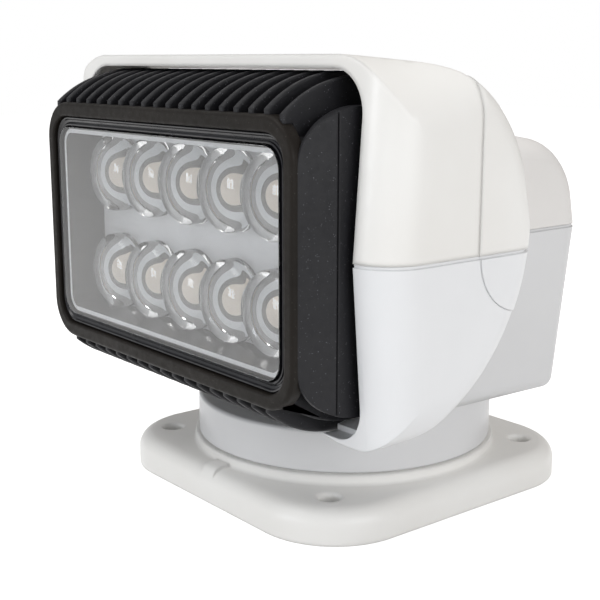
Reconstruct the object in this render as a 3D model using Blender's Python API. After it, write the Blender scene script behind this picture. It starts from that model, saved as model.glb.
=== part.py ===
"""Remote-controlled marine searchlight, modelled as an assembly of separate pieces.

A square base carries a turntable that pans about Z. The turntable is a round drum with a motor
housing on it, and two side bushes in the housing carry a white hood that tilts about X. The hood
holds a finned lamp with a clear window and two rows of round optics.

Frame: metres, +Z up, lamp facing -Y, origin on the pan axis at the underside of the base.
"""
import math

import bmesh
import bpy
from mathutils import Matrix, Vector

# Clearances
GAP = 0.0003                 # between pieces that seat on each other
RUN_GAP = 0.0005             # between the base collar and the turning drum
SEAM_GAP = 0.0012            # open joint between two shells

# Drum
DRUM_RADIUS = 0.0625
DRUM_HEIGHT = 0.01725        # from the base collar to the drum's roof
DRUM_WALL = 0.003
DRUM_EDGE = 0.0015

# Base
BASE_HEIGHT = 0.0138
BASE_CORNER = 0.033
BASE_EDGE = 0.0065           # radius of the soft upper edge
BASE_FLOOR = 0.005
COLLAR_STEP = 0.0015         # the collar is wider than the drum by this much all round
COLLAR_WALL = 0.006
COLLAR_RISE = 0.00395        # the collar stands above the plate by this much
SCREW_HOLE = 0.0042          # radius of each fixing hole
SCREW_MOUTH = 0.0013         # width of the soft mouth of a fixing hole
HOLE_ROOM = 0.01166          # from the collar to the centre of a fixing hole
HOLE_EDGE = 0.0198           # from the centre of a fixing hole to the sides of the plate
INLET_RADIUS = 0.0045        # cable inlet through the floor
INLET_PLACE = 0.034          # distance of the inlet behind the pan axis
MARK_WIDTH = 0.0085          # raised alignment mark on the front edge
MARK_RISE = 0.0012

# Lamp
LAMP_HALF_WIDTH = 0.0819
LAMP_HALF_HEIGHT = 0.04875
LAMP_DEPTH = 0.04225
LAMP_CORNER = 0.015
LAMP_FRAME = 0.0051          # width of the front frame at the sides
LAMP_FRAME_HIGH = 0.0070     # width of the front frame at the top and bottom
LAMP_EDGE = 0.0012
FRAME_DEPTH = 0.0045
CORE_SETBACK = 0.0004        # the core is narrower than the frame by this much at each side
CORE_STEP = 0.00505          # and lower by this much above and below
CORE_CORNER = 0.012
CAVITY_FLOOR = 0.00645       # thickness of the lamp's rear wall
LEDGE = 0.0035
LENS_THICKNESS = 0.0035
GASKET_WIDTH = 0.0022
FIN_COUNT = 17
FIN_SPREAD = 0.0155          # from the last fin of the row to the lamp's side
FIN_THICKNESS = 0.0027
FIN_ARC = 0.04625
FIN_ARC_BACK = 0.0325        # from the lamp's front face to the centre of the fins' arc
FIN_SETBACK = 0.003          # the fins stop ahead of the lamp's rear face
FIN_DROP = 0.0014            # the upper corner fins are shorter by this much
FIN_DROP_LOW = 0.0060        # the lower corner fins clear the hood's lower lip
CORNER_FIN_INSET = 0.0070
PANEL_FLARE = 0.0037         # the side panels stand out from the frame by this much
PANEL_STEP = 0.0010
PANEL_FRONT = 0.01575        # from the lamp's front face to the panel's vertical parting line
PANEL_ARC = 0.0240
PANEL_ARC_RISE = 0.0190
PANEL_OVER = 0.00275         # the panels reach above the frame by this much
BOSS_RADIUS = 0.0022
BOSS_INSET = 0.0030
BOSS_BACK = 0.02225          # from the lamp's front face to the front of the screw bosses

# Optics
OPTIC_COLUMNS = 5
OPTIC_SIDE = 0.00775         # from the lens's side to the first column of optics
OPTIC_BETWEEN = 0.0005
OPTIC_ROW_GAP = 0.0420
OPTIC_STEM = 0.0085
OPTIC_SEAT = 0.0215          # from the lamp's front face to the tray plate
OPTIC_HEIGHT = 0.0070
OPTIC_DOME = 0.0040
TRAY_WALL = 0.0016
BOARD_THICKNESS = 0.0016
BOARD_MARGIN = 0.006
LED_RADIUS = 0.0026
LED_HEIGHT = 0.0012

# Hood
WALL = 0.0025
HOOD_ROOM = 0.0163           # between the lamp's side panel and the hood's cheek
HOOD_OVER = 0.0054           # from the highest fin to the top of the hood
HOOD_UNDER = 0.0009          # from the lowest fin to the bottom of the hood
HOOD_COVER = 0.0229          # the hood reaches ahead of the lamp's rear face by this much
HOOD_LEAN = 0.005            # how far the front edge leans back at its top and bottom
HOOD_REAR_RISE = 0.0085      # the rearmost point is this far above the seam
HOOD_HEEL = 0.0047           # the lower rear corner lies this far ahead of the rearmost point
HOOD_HEEL_RISE = 0.0112
HOOD_SHOULDER = 0.0124       # the upper rear corner lies this far ahead of the rearmost point
HOOD_SHOULDER_FALL = 0.0063
HOOD_TOP_BEND = 0.383        # upper rear corner's radius, as a share of the hood's height
HOOD_MID_BEND = 0.190
HOOD_LOW_BEND = 0.566        # lower rear corner's radius, as a share of the hood's height
HOOD_RIM_ROUND = 0.0156      # roll of the cheek into the front edge
HOOD_CORNER = 0.0190         # round corners of the hood seen from the front
HOOD_BACK_ROUND = 0.009      # roll of the cheek into the rear edge
OPENING_RIM = 0.0044         # height of the hood's front face above the opening
OPENING_CORNER = 0.0156
LIP_LENGTH = 0.0356          # length of the lower front edge, in from the cheek
STRIP_BACK = 0.0065          # the strip over the lamp ends this far behind the lamp
BAND_AHEAD = 0.0213          # front edge of the rear band, ahead of the tilt axis
PROUD = 0.0004               # band and pivot cover stand out by this much
COVER_RADIUS = 0.0206        # pivot cover below the seam
COVER_REACH = 0.0200         # how far the pivot cover wraps in from the cheek
POD_WIDTH = 0.02565          # from the inner face of a hood pod to the cheek
SLOT_ROOM = 0.00315          # between a pod and the side of the housing

# Tilt axis and housing
SHAFT_RADIUS = 0.0035
BUSH_WALL = 0.0020
BUSH_FLANGE = 0.0016
BUSH_RIM = 0.0030
LAMP_ROOM = 0.010406         # between the drum's roof and the lowest fin
LAMP_DROP = 0.001            # the lamp's centre is below the tilt axis by this much
PIVOT_AHEAD = 0.0106         # the tilt axis is ahead of the pan axis by this much
NOSE_RADIUS = 0.036
NOSE_ROOM = 0.0049           # between the housing's nose and the lamp
BOX_FRONT_AHEAD = 0.0174     # the lower front wall is ahead of the tilt axis by this much
BOX_LIFT = 0.0053            # the housing's underside is above the drum's roof by this much
BOX_REAR = 0.0605            # rear face at the seam
BOX_REAR_SLOPE = 0.0060      # the rear face comes forward by this much down to its foot
BOX_TOP_ROUND = 0.027        # big upper rear round
BOX_TOP_FALL = 0.0045        # fall of the roof towards the rear
BOX_TOP_FLAT = 0.040         # length of the level roof behind the tilt axis
BOX_LOW_CORNER = 0.005
BOX_SIDE_ROUND = 0.009
BOX_DRAFT = 0.08             # how much each side leans in, per metre of height
ARM_THICKNESS = 0.003
ARM_HEIGHT = 0.036
ARM_EYE = 0.0052             # radius of the arm's round end
ARM_FOOT = 0.0206            # length of the foot that holds an arm to the lamp
EYE_ROOM = 0.0016            # between an arm's round end and the hood

# Drives
GEAR_MODULE = 0.0011
GEAR_TEETH = 42
PINION_TEETH = 14
GEAR_WIDTH = 0.006
BACKLASH = 0.0003
PAN_DRIVE_ANGLE = 150.0
TILT_DRIVE_ANGLE = -50.0
MOTOR_RADIUS = 0.012
PAN_MOTOR_LENGTH = 0.036
TILT_MOTOR_LENGTH = 0.038
GEARBOX_SIDE = 0.025
GEARBOX_HEIGHT = 0.013
PINION_SHAFT = 0.0025
SPINDLE_RADIUS = 0.008
SPINDLE_BORE = 0.005
SPINDLE_FLANGE = 0.013
CHASSIS_THICKNESS = 0.002
SCREW_RADIUS = 0.002
SCREW_HEAD = 0.0038
SCREW_HEAD_HEIGHT = 0.0028
PILLAR_RADIUS = 0.0046
PILLAR_SIDE = 0.0171         # from the housing's side to a rear pillar
PILLAR_REAR = 0.0205         # from the housing's rear face to a rear pillar
PILLAR_FRONT = 0.0090        # from the housing's front wall to a front pillar
PILLAR_FRONT_SIDE = 0.0306   # from the housing's side to a front pillar

# Control board
CONTROL_HALF_WIDTH = 0.042
CONTROL_HALF_HEIGHT = 0.020
CONTROL_POST = 0.012         # stand posts, in from each end of the board
CONTROL_BACK = 0.0170        # from the housing's rear face to the board
CONTROL_DROP = 0.0235        # the board's centre is below the seam by this much

# Worked out from the sizes above
COLLAR_RADIUS = DRUM_RADIUS + COLLAR_STEP
COLLAR_HEIGHT = BASE_HEIGHT + COLLAR_RISE
SCREW_SPACING = math.sqrt(2.0) * (COLLAR_RADIUS + HOLE_ROOM)
BASE_SIDE = SCREW_SPACING + 2 * HOLE_EDGE
DRUM_TOP = COLLAR_HEIGHT + DRUM_HEIGHT
DRUM_BOTTOM = COLLAR_HEIGHT + RUN_GAP
DRUM_FLOOR = DRUM_TOP - DRUM_WALL

FIN_REACH = LAMP_HALF_HEIGHT - math.sqrt(FIN_ARC ** 2 - FIN_ARC_BACK ** 2) + FIN_ARC
LAMP_CENTRE_Z = DRUM_TOP + LAMP_ROOM + FIN_REACH
PIVOT_Y = -PIVOT_AHEAD
PIVOT_Z = LAMP_CENTRE_Z + LAMP_DROP
SEAM = PIVOT_Z
LAMP_REAR = PIVOT_Y - NOSE_RADIUS - NOSE_ROOM
LAMP_FRONT = LAMP_REAR - LAMP_DEPTH
CORE_HALF_WIDTH = LAMP_HALF_WIDTH - CORE_SETBACK
CORE_HALF_HEIGHT = LAMP_HALF_HEIGHT - CORE_STEP
FIN_PITCH = 2 * (LAMP_HALF_WIDTH - FIN_SPREAD) / (FIN_COUNT - 1)
FIN_ARC_Y = LAMP_FRONT + FIN_ARC_BACK
CORNER_FIN_X = CORE_HALF_WIDTH - CORNER_FIN_INSET
PANEL_HALF = LAMP_HALF_WIDTH + PANEL_FLARE
PANEL_INNER = CORE_HALF_WIDTH - CORE_SETBACK
PANEL_LINE = LAMP_FRONT + PANEL_FRONT
PANEL_HALF_HEIGHT = LAMP_HALF_HEIGHT + PANEL_OVER
LENS_HALF_WIDTH = LAMP_HALF_WIDTH - LAMP_FRAME - GASKET_WIDTH - 2 * GAP
LENS_HALF_HEIGHT = LAMP_HALF_HEIGHT - LAMP_FRAME_HIGH - GASKET_WIDTH - 2 * GAP
OPTIC_PITCH = 2 * (LENS_HALF_WIDTH - OPTIC_SIDE) / OPTIC_COLUMNS
OPTIC_RADIUS = (OPTIC_PITCH - OPTIC_BETWEEN) / 2

HOOD_HALF = PANEL_HALF + HOOD_ROOM + WALL
HOOD_TOP = LAMP_CENTRE_Z + FIN_REACH + HOOD_OVER
HOOD_BOTTOM = LAMP_CENTRE_Z - FIN_REACH - HOOD_UNDER
HOOD_FRONT = LAMP_REAR - HOOD_COVER
HOOD_REAR = PIVOT_Y + ARM_EYE + WALL + EYE_ROOM
OPENING_HALF = HOOD_HALF - HOOD_RIM_ROUND
STRIP_REAR = LAMP_REAR + STRIP_BACK
BAND_LINE = PIVOT_Y - BAND_AHEAD
SLOT_HALF = HOOD_HALF - POD_WIDTH
POD_INNER = SLOT_HALF + WALL

BOX_HALF = SLOT_HALF - SLOT_ROOM
BOX_TOP = PIVOT_Z + NOSE_RADIUS
BOX_BOTTOM = DRUM_TOP + BOX_LIFT
BOX_FRONT = PIVOT_Y - BOX_FRONT_AHEAD
BOX_REAR_FOOT = BOX_REAR - BOX_REAR_SLOPE
ARM_X = POD_INNER + GAP
BUSH_RADIUS = SHAFT_RADIUS + GAP + BUSH_WALL
TILT_GEAR_X = BOX_HALF - WALL - 0.0095
PILLAR_PLACES = (
    (BOX_HALF - PILLAR_FRONT_SIDE, BOX_FRONT + PILLAR_FRONT),
    (PILLAR_FRONT_SIDE - BOX_HALF, BOX_FRONT + PILLAR_FRONT),
    (BOX_HALF - PILLAR_SIDE, BOX_REAR - PILLAR_REAR),
    (PILLAR_SIDE - BOX_HALF, BOX_REAR - PILLAR_REAR),
)
CONTROL_Y = BOX_REAR - CONTROL_BACK
CONTROL_Z = SEAM - CONTROL_DROP

GEAR_RADIUS = GEAR_MODULE * GEAR_TEETH / 2
PINION_RADIUS = GEAR_MODULE * PINION_TEETH / 2
DRIVE_DISTANCE = GEAR_RADIUS + PINION_RADIUS + 0.0001
TOOTH_TOP = 0.8 * GEAR_MODULE
BOSS_OUTER = SPINDLE_FLANGE + 0.0015
GEAR_LAND = BOSS_OUTER + 0.0055
GEAR_Z = DRUM_BOTTOM + GAP
BOSS_TOP = GEAR_Z + 0.0014
WASHER_Z = BOSS_TOP + GAP + 0.002
HUB_Z = GEAR_Z + GEAR_WIDTH + 2 * GAP
HUB_TOP = DRUM_TOP + 0.003

ROUND = 40
FINE = 24
FAR = 0.3
WELD = 0.000002              # points closer than this become one after a cut


def clear_scene():
    for item in list(bpy.data.objects):
        bpy.data.objects.remove(item, do_unlink=True)


def make_material(name, color, roughness, metallic=0.0):
    material = bpy.data.materials.new(name)
    material.use_nodes = True
    shader = material.node_tree.nodes["Principled BSDF"]
    shader.inputs["Base Color"].default_value = (*color, 1.0)
    shader.inputs["Roughness"].default_value = roughness
    shader.inputs["Metallic"].default_value = metallic
    return material


def new_object(name, points, faces):
    """One mesh object whose faces all point outwards."""
    mesh = bpy.data.meshes.new(name)
    mesh.from_pydata([tuple(point) for point in points], [], faces)
    edit = bmesh.new()
    edit.from_mesh(mesh)
    bmesh.ops.recalc_face_normals(edit, faces=edit.faces)
    edit.to_mesh(mesh)
    edit.free()
    item = bpy.data.objects.new(name, mesh)
    bpy.context.scene.collection.objects.link(item)
    return item


def stack(name, rings):
    """A closed solid through equal rings of points, with a flat cap at each end."""
    count = len(rings[0])
    points = [point for ring in rings for point in ring]
    faces = [tuple(range(count))]
    for level in range(len(rings) - 1):
        low = level * count
        for i in range(count):
            j = (i + 1) % count
            faces.append((low + i, low + j, low + count + j, low + count + i))
    last = (len(rings) - 1) * count
    faces.append(tuple(range(last + count - 1, last - 1, -1)))
    return new_object(name, points, faces)


def place(axis, u, v, w):
    """Point of a flat outline (u, v) at depth w along an axis."""
    if axis == "X":
        return (w, u, v)
    if axis == "Y":
        return (u, w, v)
    return (u, v, w)


def prism(name, outline, axis, start, end):
    return stack(name, [[place(axis, u, v, w) for u, v in outline] for w in (start, end)])


def box(name, one, other):
    """A block between two opposite corners, given in any order."""
    (x0, x1), (y0, y1), (z0, z1) = (sorted(pair) for pair in zip(one, other))
    return prism(name, [(x0, y0), (x1, y0), (x1, y1), (x0, y1)], "Z", z0, z1)


def turned(name, profile, axis="Z", centre=(0.0, 0.0, 0.0), segments=ROUND):
    """A closed profile of (radius, height) points turned about an axis through centre."""
    points = []
    rows = []
    for radius, height in profile:
        row = []
        for i in range(segments if radius > 1e-7 else 1):
            angle = 2 * math.pi * i / segments
            u = radius * math.cos(angle)
            v = radius * math.sin(angle)
            row.append(len(points))
            points.append(Vector(centre) + Vector(place(axis, u, v, height)))
        rows.append(row)
    faces = []
    for row, after in zip(rows, rows[1:] + rows[:1]):
        for i in range(segments):
            j = (i + 1) % segments
            if len(row) > 1 and len(after) > 1:
                faces.append((row[i], row[j], after[j], after[i]))
            elif len(row) > 1:
                faces.append((row[i], row[j], after[0]))
            elif len(after) > 1:
                faces.append((row[0], after[j], after[i]))
    return new_object(name, points, faces)


def rod(name, radius, axis, centre, start, end, segments=ROUND):
    profile = [(0.0, start), (radius, start), (radius, end), (0.0, end)]
    return turned(name, profile, axis, centre, segments)


def tube(name, inner, outer, axis, centre, start, end, segments=ROUND):
    profile = [(inner, start), (outer, start), (outer, end), (inner, end)]
    return turned(name, profile, axis, centre, segments)


def boolean(target, tool, operation):
    """Cut, join or intersect target with tool, and remove tool."""
    modifier = target.modifiers.new("shape", "BOOLEAN")
    modifier.operation = operation
    modifier.object = tool
    graph = bpy.context.evaluated_depsgraph_get()
    mesh = bpy.data.meshes.new_from_object(target.evaluated_get(graph))
    edit = bmesh.new()
    edit.from_mesh(mesh)
    bmesh.ops.remove_doubles(edit, verts=edit.verts, dist=WELD)
    bmesh.ops.dissolve_degenerate(edit, edges=edit.edges, dist=WELD)
    edit.to_mesh(mesh)
    edit.free()
    target.modifiers.clear()
    target.data = mesh
    bpy.data.objects.remove(tool, do_unlink=True)
    return target


def cut(target, *tools):
    for tool in tools:
        boolean(target, tool, "DIFFERENCE")
    return target


def join(target, *tools):
    for tool in tools:
        boolean(target, tool, "UNION")
    return target


def keep(target, tool):
    return boolean(target, tool, "INTERSECT")


def copy_of(item, name):
    twin = bpy.data.objects.new(name, item.data.copy())
    bpy.context.scene.collection.objects.link(twin)
    return twin


def mirrored(item, name):
    """The same piece on the other side of X = 0."""
    twin = copy_of(item, name)
    twin.data.transform(Matrix.Scale(-1.0, 4, (1.0, 0.0, 0.0)))
    twin.data.flip_normals()
    return twin


def discard(*items):
    for item in items:
        bpy.data.objects.remove(item, do_unlink=True)


def rounded_outline(corners, steps=6):
    """Outline with round corners, from (u, v, radius, roll) corners in counter-clockwise order.

    Each point comes back as (u, v, out_u, out_v, roll). Moving a point along (out_u, out_v) by a
    distance moves the outline's edges out by that distance.
    """
    result = []
    count = len(corners)
    for i, (u, v, radius, roll) in enumerate(corners):
        here = Vector((u, v))
        before = (here - Vector(corners[i - 1][:2])).normalized()
        after = (Vector(corners[(i + 1) % count][:2]) - here).normalized()
        normal_in = Vector((before.y, -before.x))
        normal_out = Vector((after.y, -after.x))
        miter = (normal_in + normal_out) / (1.0 + normal_in.dot(normal_out))
        if radius == 0.0:
            result.append((u, v, miter.x, miter.y, roll))
            continue
        centre = here - miter * radius
        turn = normal_in.angle(normal_out)
        base = math.atan2(normal_in.y, normal_in.x)
        for k in range(steps + 1):
            angle = base + turn * k / steps
            out = Vector((math.cos(angle), math.sin(angle)))
            result.append((*(centre + out * radius), out.x, out.y, roll))
    return result


def moved(outline, inset):
    return [(u - a * inset, v - b * inset) for u, v, a, b, _ in outline]


def rectangle(half_u, half_v, radius, centre=(0.0, 0.0), steps=6):
    u, v = centre
    corners = [
        (u - half_u, v - half_v, radius, 0.0),
        (u + half_u, v - half_v, radius, 0.0),
        (u + half_u, v + half_v, radius, 0.0),
        (u - half_u, v + half_v, radius, 0.0),
    ]
    return rounded_outline(corners, steps)


def cheeked(name, outline, half_width, inset=0.0, steps=4, draft=0.0, draft_from=0.0):
    """Solid between two flat cheeks whose edges roll over into the outline seen from the side.

    inset moves every face in by that much. With a draft the cheeks lean in away from the height
    draft_from, upwards for a positive draft and downwards for a negative one.
    """
    def ring(side, turn):
        points = []
        for y, z, out_y, out_z, roll in outline:
            left = max(roll - inset, 0.0003)
            pull = inset + left * (1.0 - math.sin(turn))
            high = z - out_z * pull
            x = half_width - inset - left * (1.0 - math.cos(turn)) - draft * (high - draft_from)
            points.append((side * x, y - out_y * pull, high))
        return points

    turns = [math.pi / 2 * k / steps for k in range(steps + 1)]
    rings = [ring(1.0, turn) for turn in turns]
    rings += [ring(-1.0, turn) for turn in reversed(turns)]
    return stack(name, rings)


def gear(name, teeth, width, bore, axis, centre, start, tooth_at, segments=FINE):
    """Spur gear with involute flanks, a tooth centred on the angle tooth_at, and a round bore."""
    pitch = GEAR_MODULE * teeth / 2
    pressure = math.radians(20.0)
    base = pitch * math.cos(pressure)
    root = pitch - 1.15 * GEAR_MODULE
    tip = pitch + TOOTH_TOP

    def half_angle(radius):
        lean = math.acos(min(1.0, base / radius))
        middle = (math.pi * GEAR_MODULE / 2 - BACKLASH) / (2 * pitch)
        return middle + math.tan(pressure) - pressure - (math.tan(lean) - lean)

    outline = []
    for tooth in range(teeth):
        middle = tooth_at + 2 * math.pi * tooth / teeth
        levels = [root, pitch, tip]
        sides = [(r, -half_angle(max(r, base))) for r in levels]
        sides += [(r, half_angle(max(r, base))) for r in reversed(levels)]
        for radius, angle in sides:
            outline.append((radius * math.cos(middle + angle), radius * math.sin(middle + angle)))
    if axis == "X":
        outline = [(u + centre[1], v + centre[2]) for u, v in outline]
    else:
        outline = [(u + centre[0], v + centre[1]) for u, v in outline]
    item = prism(name, outline, axis, start, start + width)
    if bore:
        cut(item, rod("bore", bore, axis, centre, start - 0.01, start + width + 0.01, segments))
    return item


def base_flange():
    """Square plate with a soft edge, a collar, the pan gear's land and the spindle boss."""
    outline = rectangle(BASE_SIDE / 2, BASE_SIDE / 2, BASE_CORNER, steps=6)
    rings = [[(u, v, 0.0) for u, v in moved(outline, 0.0)]]
    for k in range(4):
        turn = math.pi / 2 * k / 3
        inset = BASE_EDGE * (1.0 - math.cos(turn))
        z = BASE_HEIGHT - BASE_EDGE * (1.0 - math.sin(turn))
        rings.append([(u, v, z) for u, v in moved(outline, inset)])
    item = stack("base_flange", rings)
    inside = COLLAR_RADIUS - COLLAR_WALL
    centre = (0.0, 0.0, 0.0)
    cut(item, rod("well", inside + 0.002, "Z", centre, BASE_FLOOR * 0.75, FAR))
    tower = [
        (SPINDLE_RADIUS + GAP, BASE_FLOOR), (SPINDLE_RADIUS + GAP, BOSS_TOP),
        (BOSS_OUTER, BOSS_TOP), (BOSS_OUTER, GEAR_Z - GAP), (GEAR_LAND, GEAR_Z - GAP),
        (GEAR_LAND, BASE_FLOOR), (inside, BASE_FLOOR), (inside, COLLAR_HEIGHT),
        (COLLAR_RADIUS, COLLAR_HEIGHT), (COLLAR_RADIUS, BASE_FLOOR / 2),
        (0.0, BASE_FLOOR / 2), (0.0, BASE_FLOOR),
    ]
    join(item, turned("tower", tower, segments=ROUND))
    mark = rectangle(MARK_WIDTH / 2, BASE_SIDE / 4, 0.002, (0.0, -BASE_SIDE / 2), 3)
    rib = prism("mark", moved(mark, 0.0), "Z", BASE_FLOOR, BASE_HEIGHT + 2 * MARK_RISE)
    over = [[(u, v, z) for u, v in moved(outline, inset - MARK_RISE)] for inset, z in (
        (0.0, 0.0), (0.0, BASE_HEIGHT - BASE_EDGE + MARK_RISE),
        (BASE_EDGE * 0.13, BASE_HEIGHT - BASE_EDGE * 0.5 + MARK_RISE),
        (BASE_EDGE * 0.5, BASE_HEIGHT - BASE_EDGE * 0.13 + MARK_RISE),
        (BASE_EDGE, BASE_HEIGHT + MARK_RISE))]
    keep(rib, stack("over", over))
    cut(rib, rod("past", COLLAR_RADIUS - 0.001, "Z", centre, -FAR, FAR, ROUND))
    join(item, rib)
    slot_half = SPINDLE_RADIUS / 2
    cut(item, box("wireway", (-slot_half, 0.0, BASE_FLOOR), (slot_half, GEAR_LAND + 0.001, BASE_FLOOR + 0.006)))
    cut(item, rod("inlet", INLET_RADIUS + 0.0015, "Z", (0.0, INLET_PLACE, 0.0), -0.01, BASE_FLOOR + 0.01, FINE))
    half = SCREW_SPACING / 2
    deep = BASE_HEIGHT - SCREW_MOUTH
    hole = [
        (0.0, -0.01), (SCREW_HOLE, -0.01), (SCREW_HOLE, deep),
        (SCREW_HOLE + SCREW_MOUTH * 0.3, deep + SCREW_MOUTH * 0.7),
        (SCREW_HOLE + SCREW_MOUTH, BASE_HEIGHT), (SCREW_HOLE + SCREW_MOUTH, FAR), (0.0, FAR),
    ]
    for x in (-half, half):
        for y in (-half, half):
            cut(item, turned("hole", hole, centre=(x, y, 0.0), segments=16))
    return [item]


def base_parts():
    """Pieces that stay on the base: pan gear, spindle, washer, nut and cable grommet."""
    centre = (0.0, 0.0, 0.0)
    pan_angle = math.radians(PAN_DRIVE_ANGLE)
    pan_gear = gear("pan_gear", GEAR_TEETH, GEAR_WIDTH, BOSS_OUTER + GAP, "Z", centre, GEAR_Z, pan_angle, FINE)
    foot = BASE_FLOOR + 0.0065
    nut_z = HUB_TOP + 2 * GAP
    spindle = turned("spindle", [
        (SPINDLE_BORE, foot), (SPINDLE_RADIUS, foot), (SPINDLE_RADIUS, BOSS_TOP + GAP),
        (SPINDLE_FLANGE, BOSS_TOP + GAP), (SPINDLE_FLANGE, WASHER_Z),
        (SPINDLE_RADIUS, WASHER_Z), (SPINDLE_RADIUS, nut_z + 0.009), (SPINDLE_BORE, nut_z + 0.009),
    ], segments=FINE)
    inner = SPINDLE_RADIUS + GAP
    washer = tube("thrust_washer", inner, SPINDLE_FLANGE, "Z", centre, WASHER_Z + GAP, HUB_Z - GAP, FINE)
    nut = turned("spindle_nut", [
        (inner, nut_z), (SPINDLE_FLANGE + 0.001, nut_z), (SPINDLE_FLANGE + 0.001, nut_z + 0.0015),
        (SPINDLE_FLANGE, nut_z + 0.0016), (SPINDLE_FLANGE, nut_z + 0.007), (inner, nut_z + 0.007),
    ], segments=FINE)
    flats = [(1.06 * SPINDLE_FLANGE * math.cos(math.pi * k / 3), 1.06 * SPINDLE_FLANGE * math.sin(math.pi * k / 3))
             for k in range(6)]
    keep(nut, join(prism("flats", flats, "Z", 0.0, FAR),
                   rod("skirt", SPINDLE_FLANGE + 0.004, "Z", centre, 0.0, nut_z + 0.0015)))
    at = (0.0, INLET_PLACE, 0.0)
    edge = INLET_RADIUS + 0.0015 - GAP
    grommet = turned("cable_grommet", [
        (INLET_RADIUS - 0.001, 0.0005), (edge, 0.0005), (edge, BASE_FLOOR + GAP),
        (edge + 0.0015, BASE_FLOOR + GAP), (edge + 0.001, BASE_FLOOR + 0.002),
        (INLET_RADIUS - 0.0005, BASE_FLOOR + 0.002),
    ], centre=at, segments=16)
    return [pan_gear, spindle, washer, nut, grommet]


def box_outline():
    """Side outline of the motor housing, with its round nose about the tilt axis."""
    run = PIVOT_Y - BOX_FRONT
    start = math.pi / 2
    end = 2 * math.pi + math.atan2(-math.sqrt(NOSE_RADIUS ** 2 - run ** 2), -run)
    corners = [
        (BOX_FRONT, BOX_BOTTOM, 0.0, BOX_SIDE_ROUND),
        (BOX_REAR_FOOT, BOX_BOTTOM, BOX_LOW_CORNER, BOX_LOW_CORNER * 0.9),
        (BOX_REAR, SEAM, 0.0, BOX_SIDE_ROUND),
        (BOX_REAR - 0.0035, BOX_TOP - BOX_TOP_FALL, BOX_TOP_ROUND, BOX_SIDE_ROUND),
        (PIVOT_Y + BOX_TOP_FLAT, BOX_TOP, 0.0, BOX_SIDE_ROUND),
    ]
    steps = 14
    for k in range(steps + 1):
        angle = start + (end - start) * k / steps
        corners.append((PIVOT_Y + NOSE_RADIUS * math.cos(angle), PIVOT_Z + NOSE_RADIUS * math.sin(angle),
                        0.0, BOX_SIDE_ROUND))
    return rounded_outline(corners, 7)


def pillar_foot(x, y):
    """Height where a screw pillar starts: on the drum roof inside the drum, on the box floor outside."""
    return DRUM_TOP if math.hypot(x, y) < DRUM_RADIUS - PILLAR_RADIUS else BOX_BOTTOM + WALL


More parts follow.
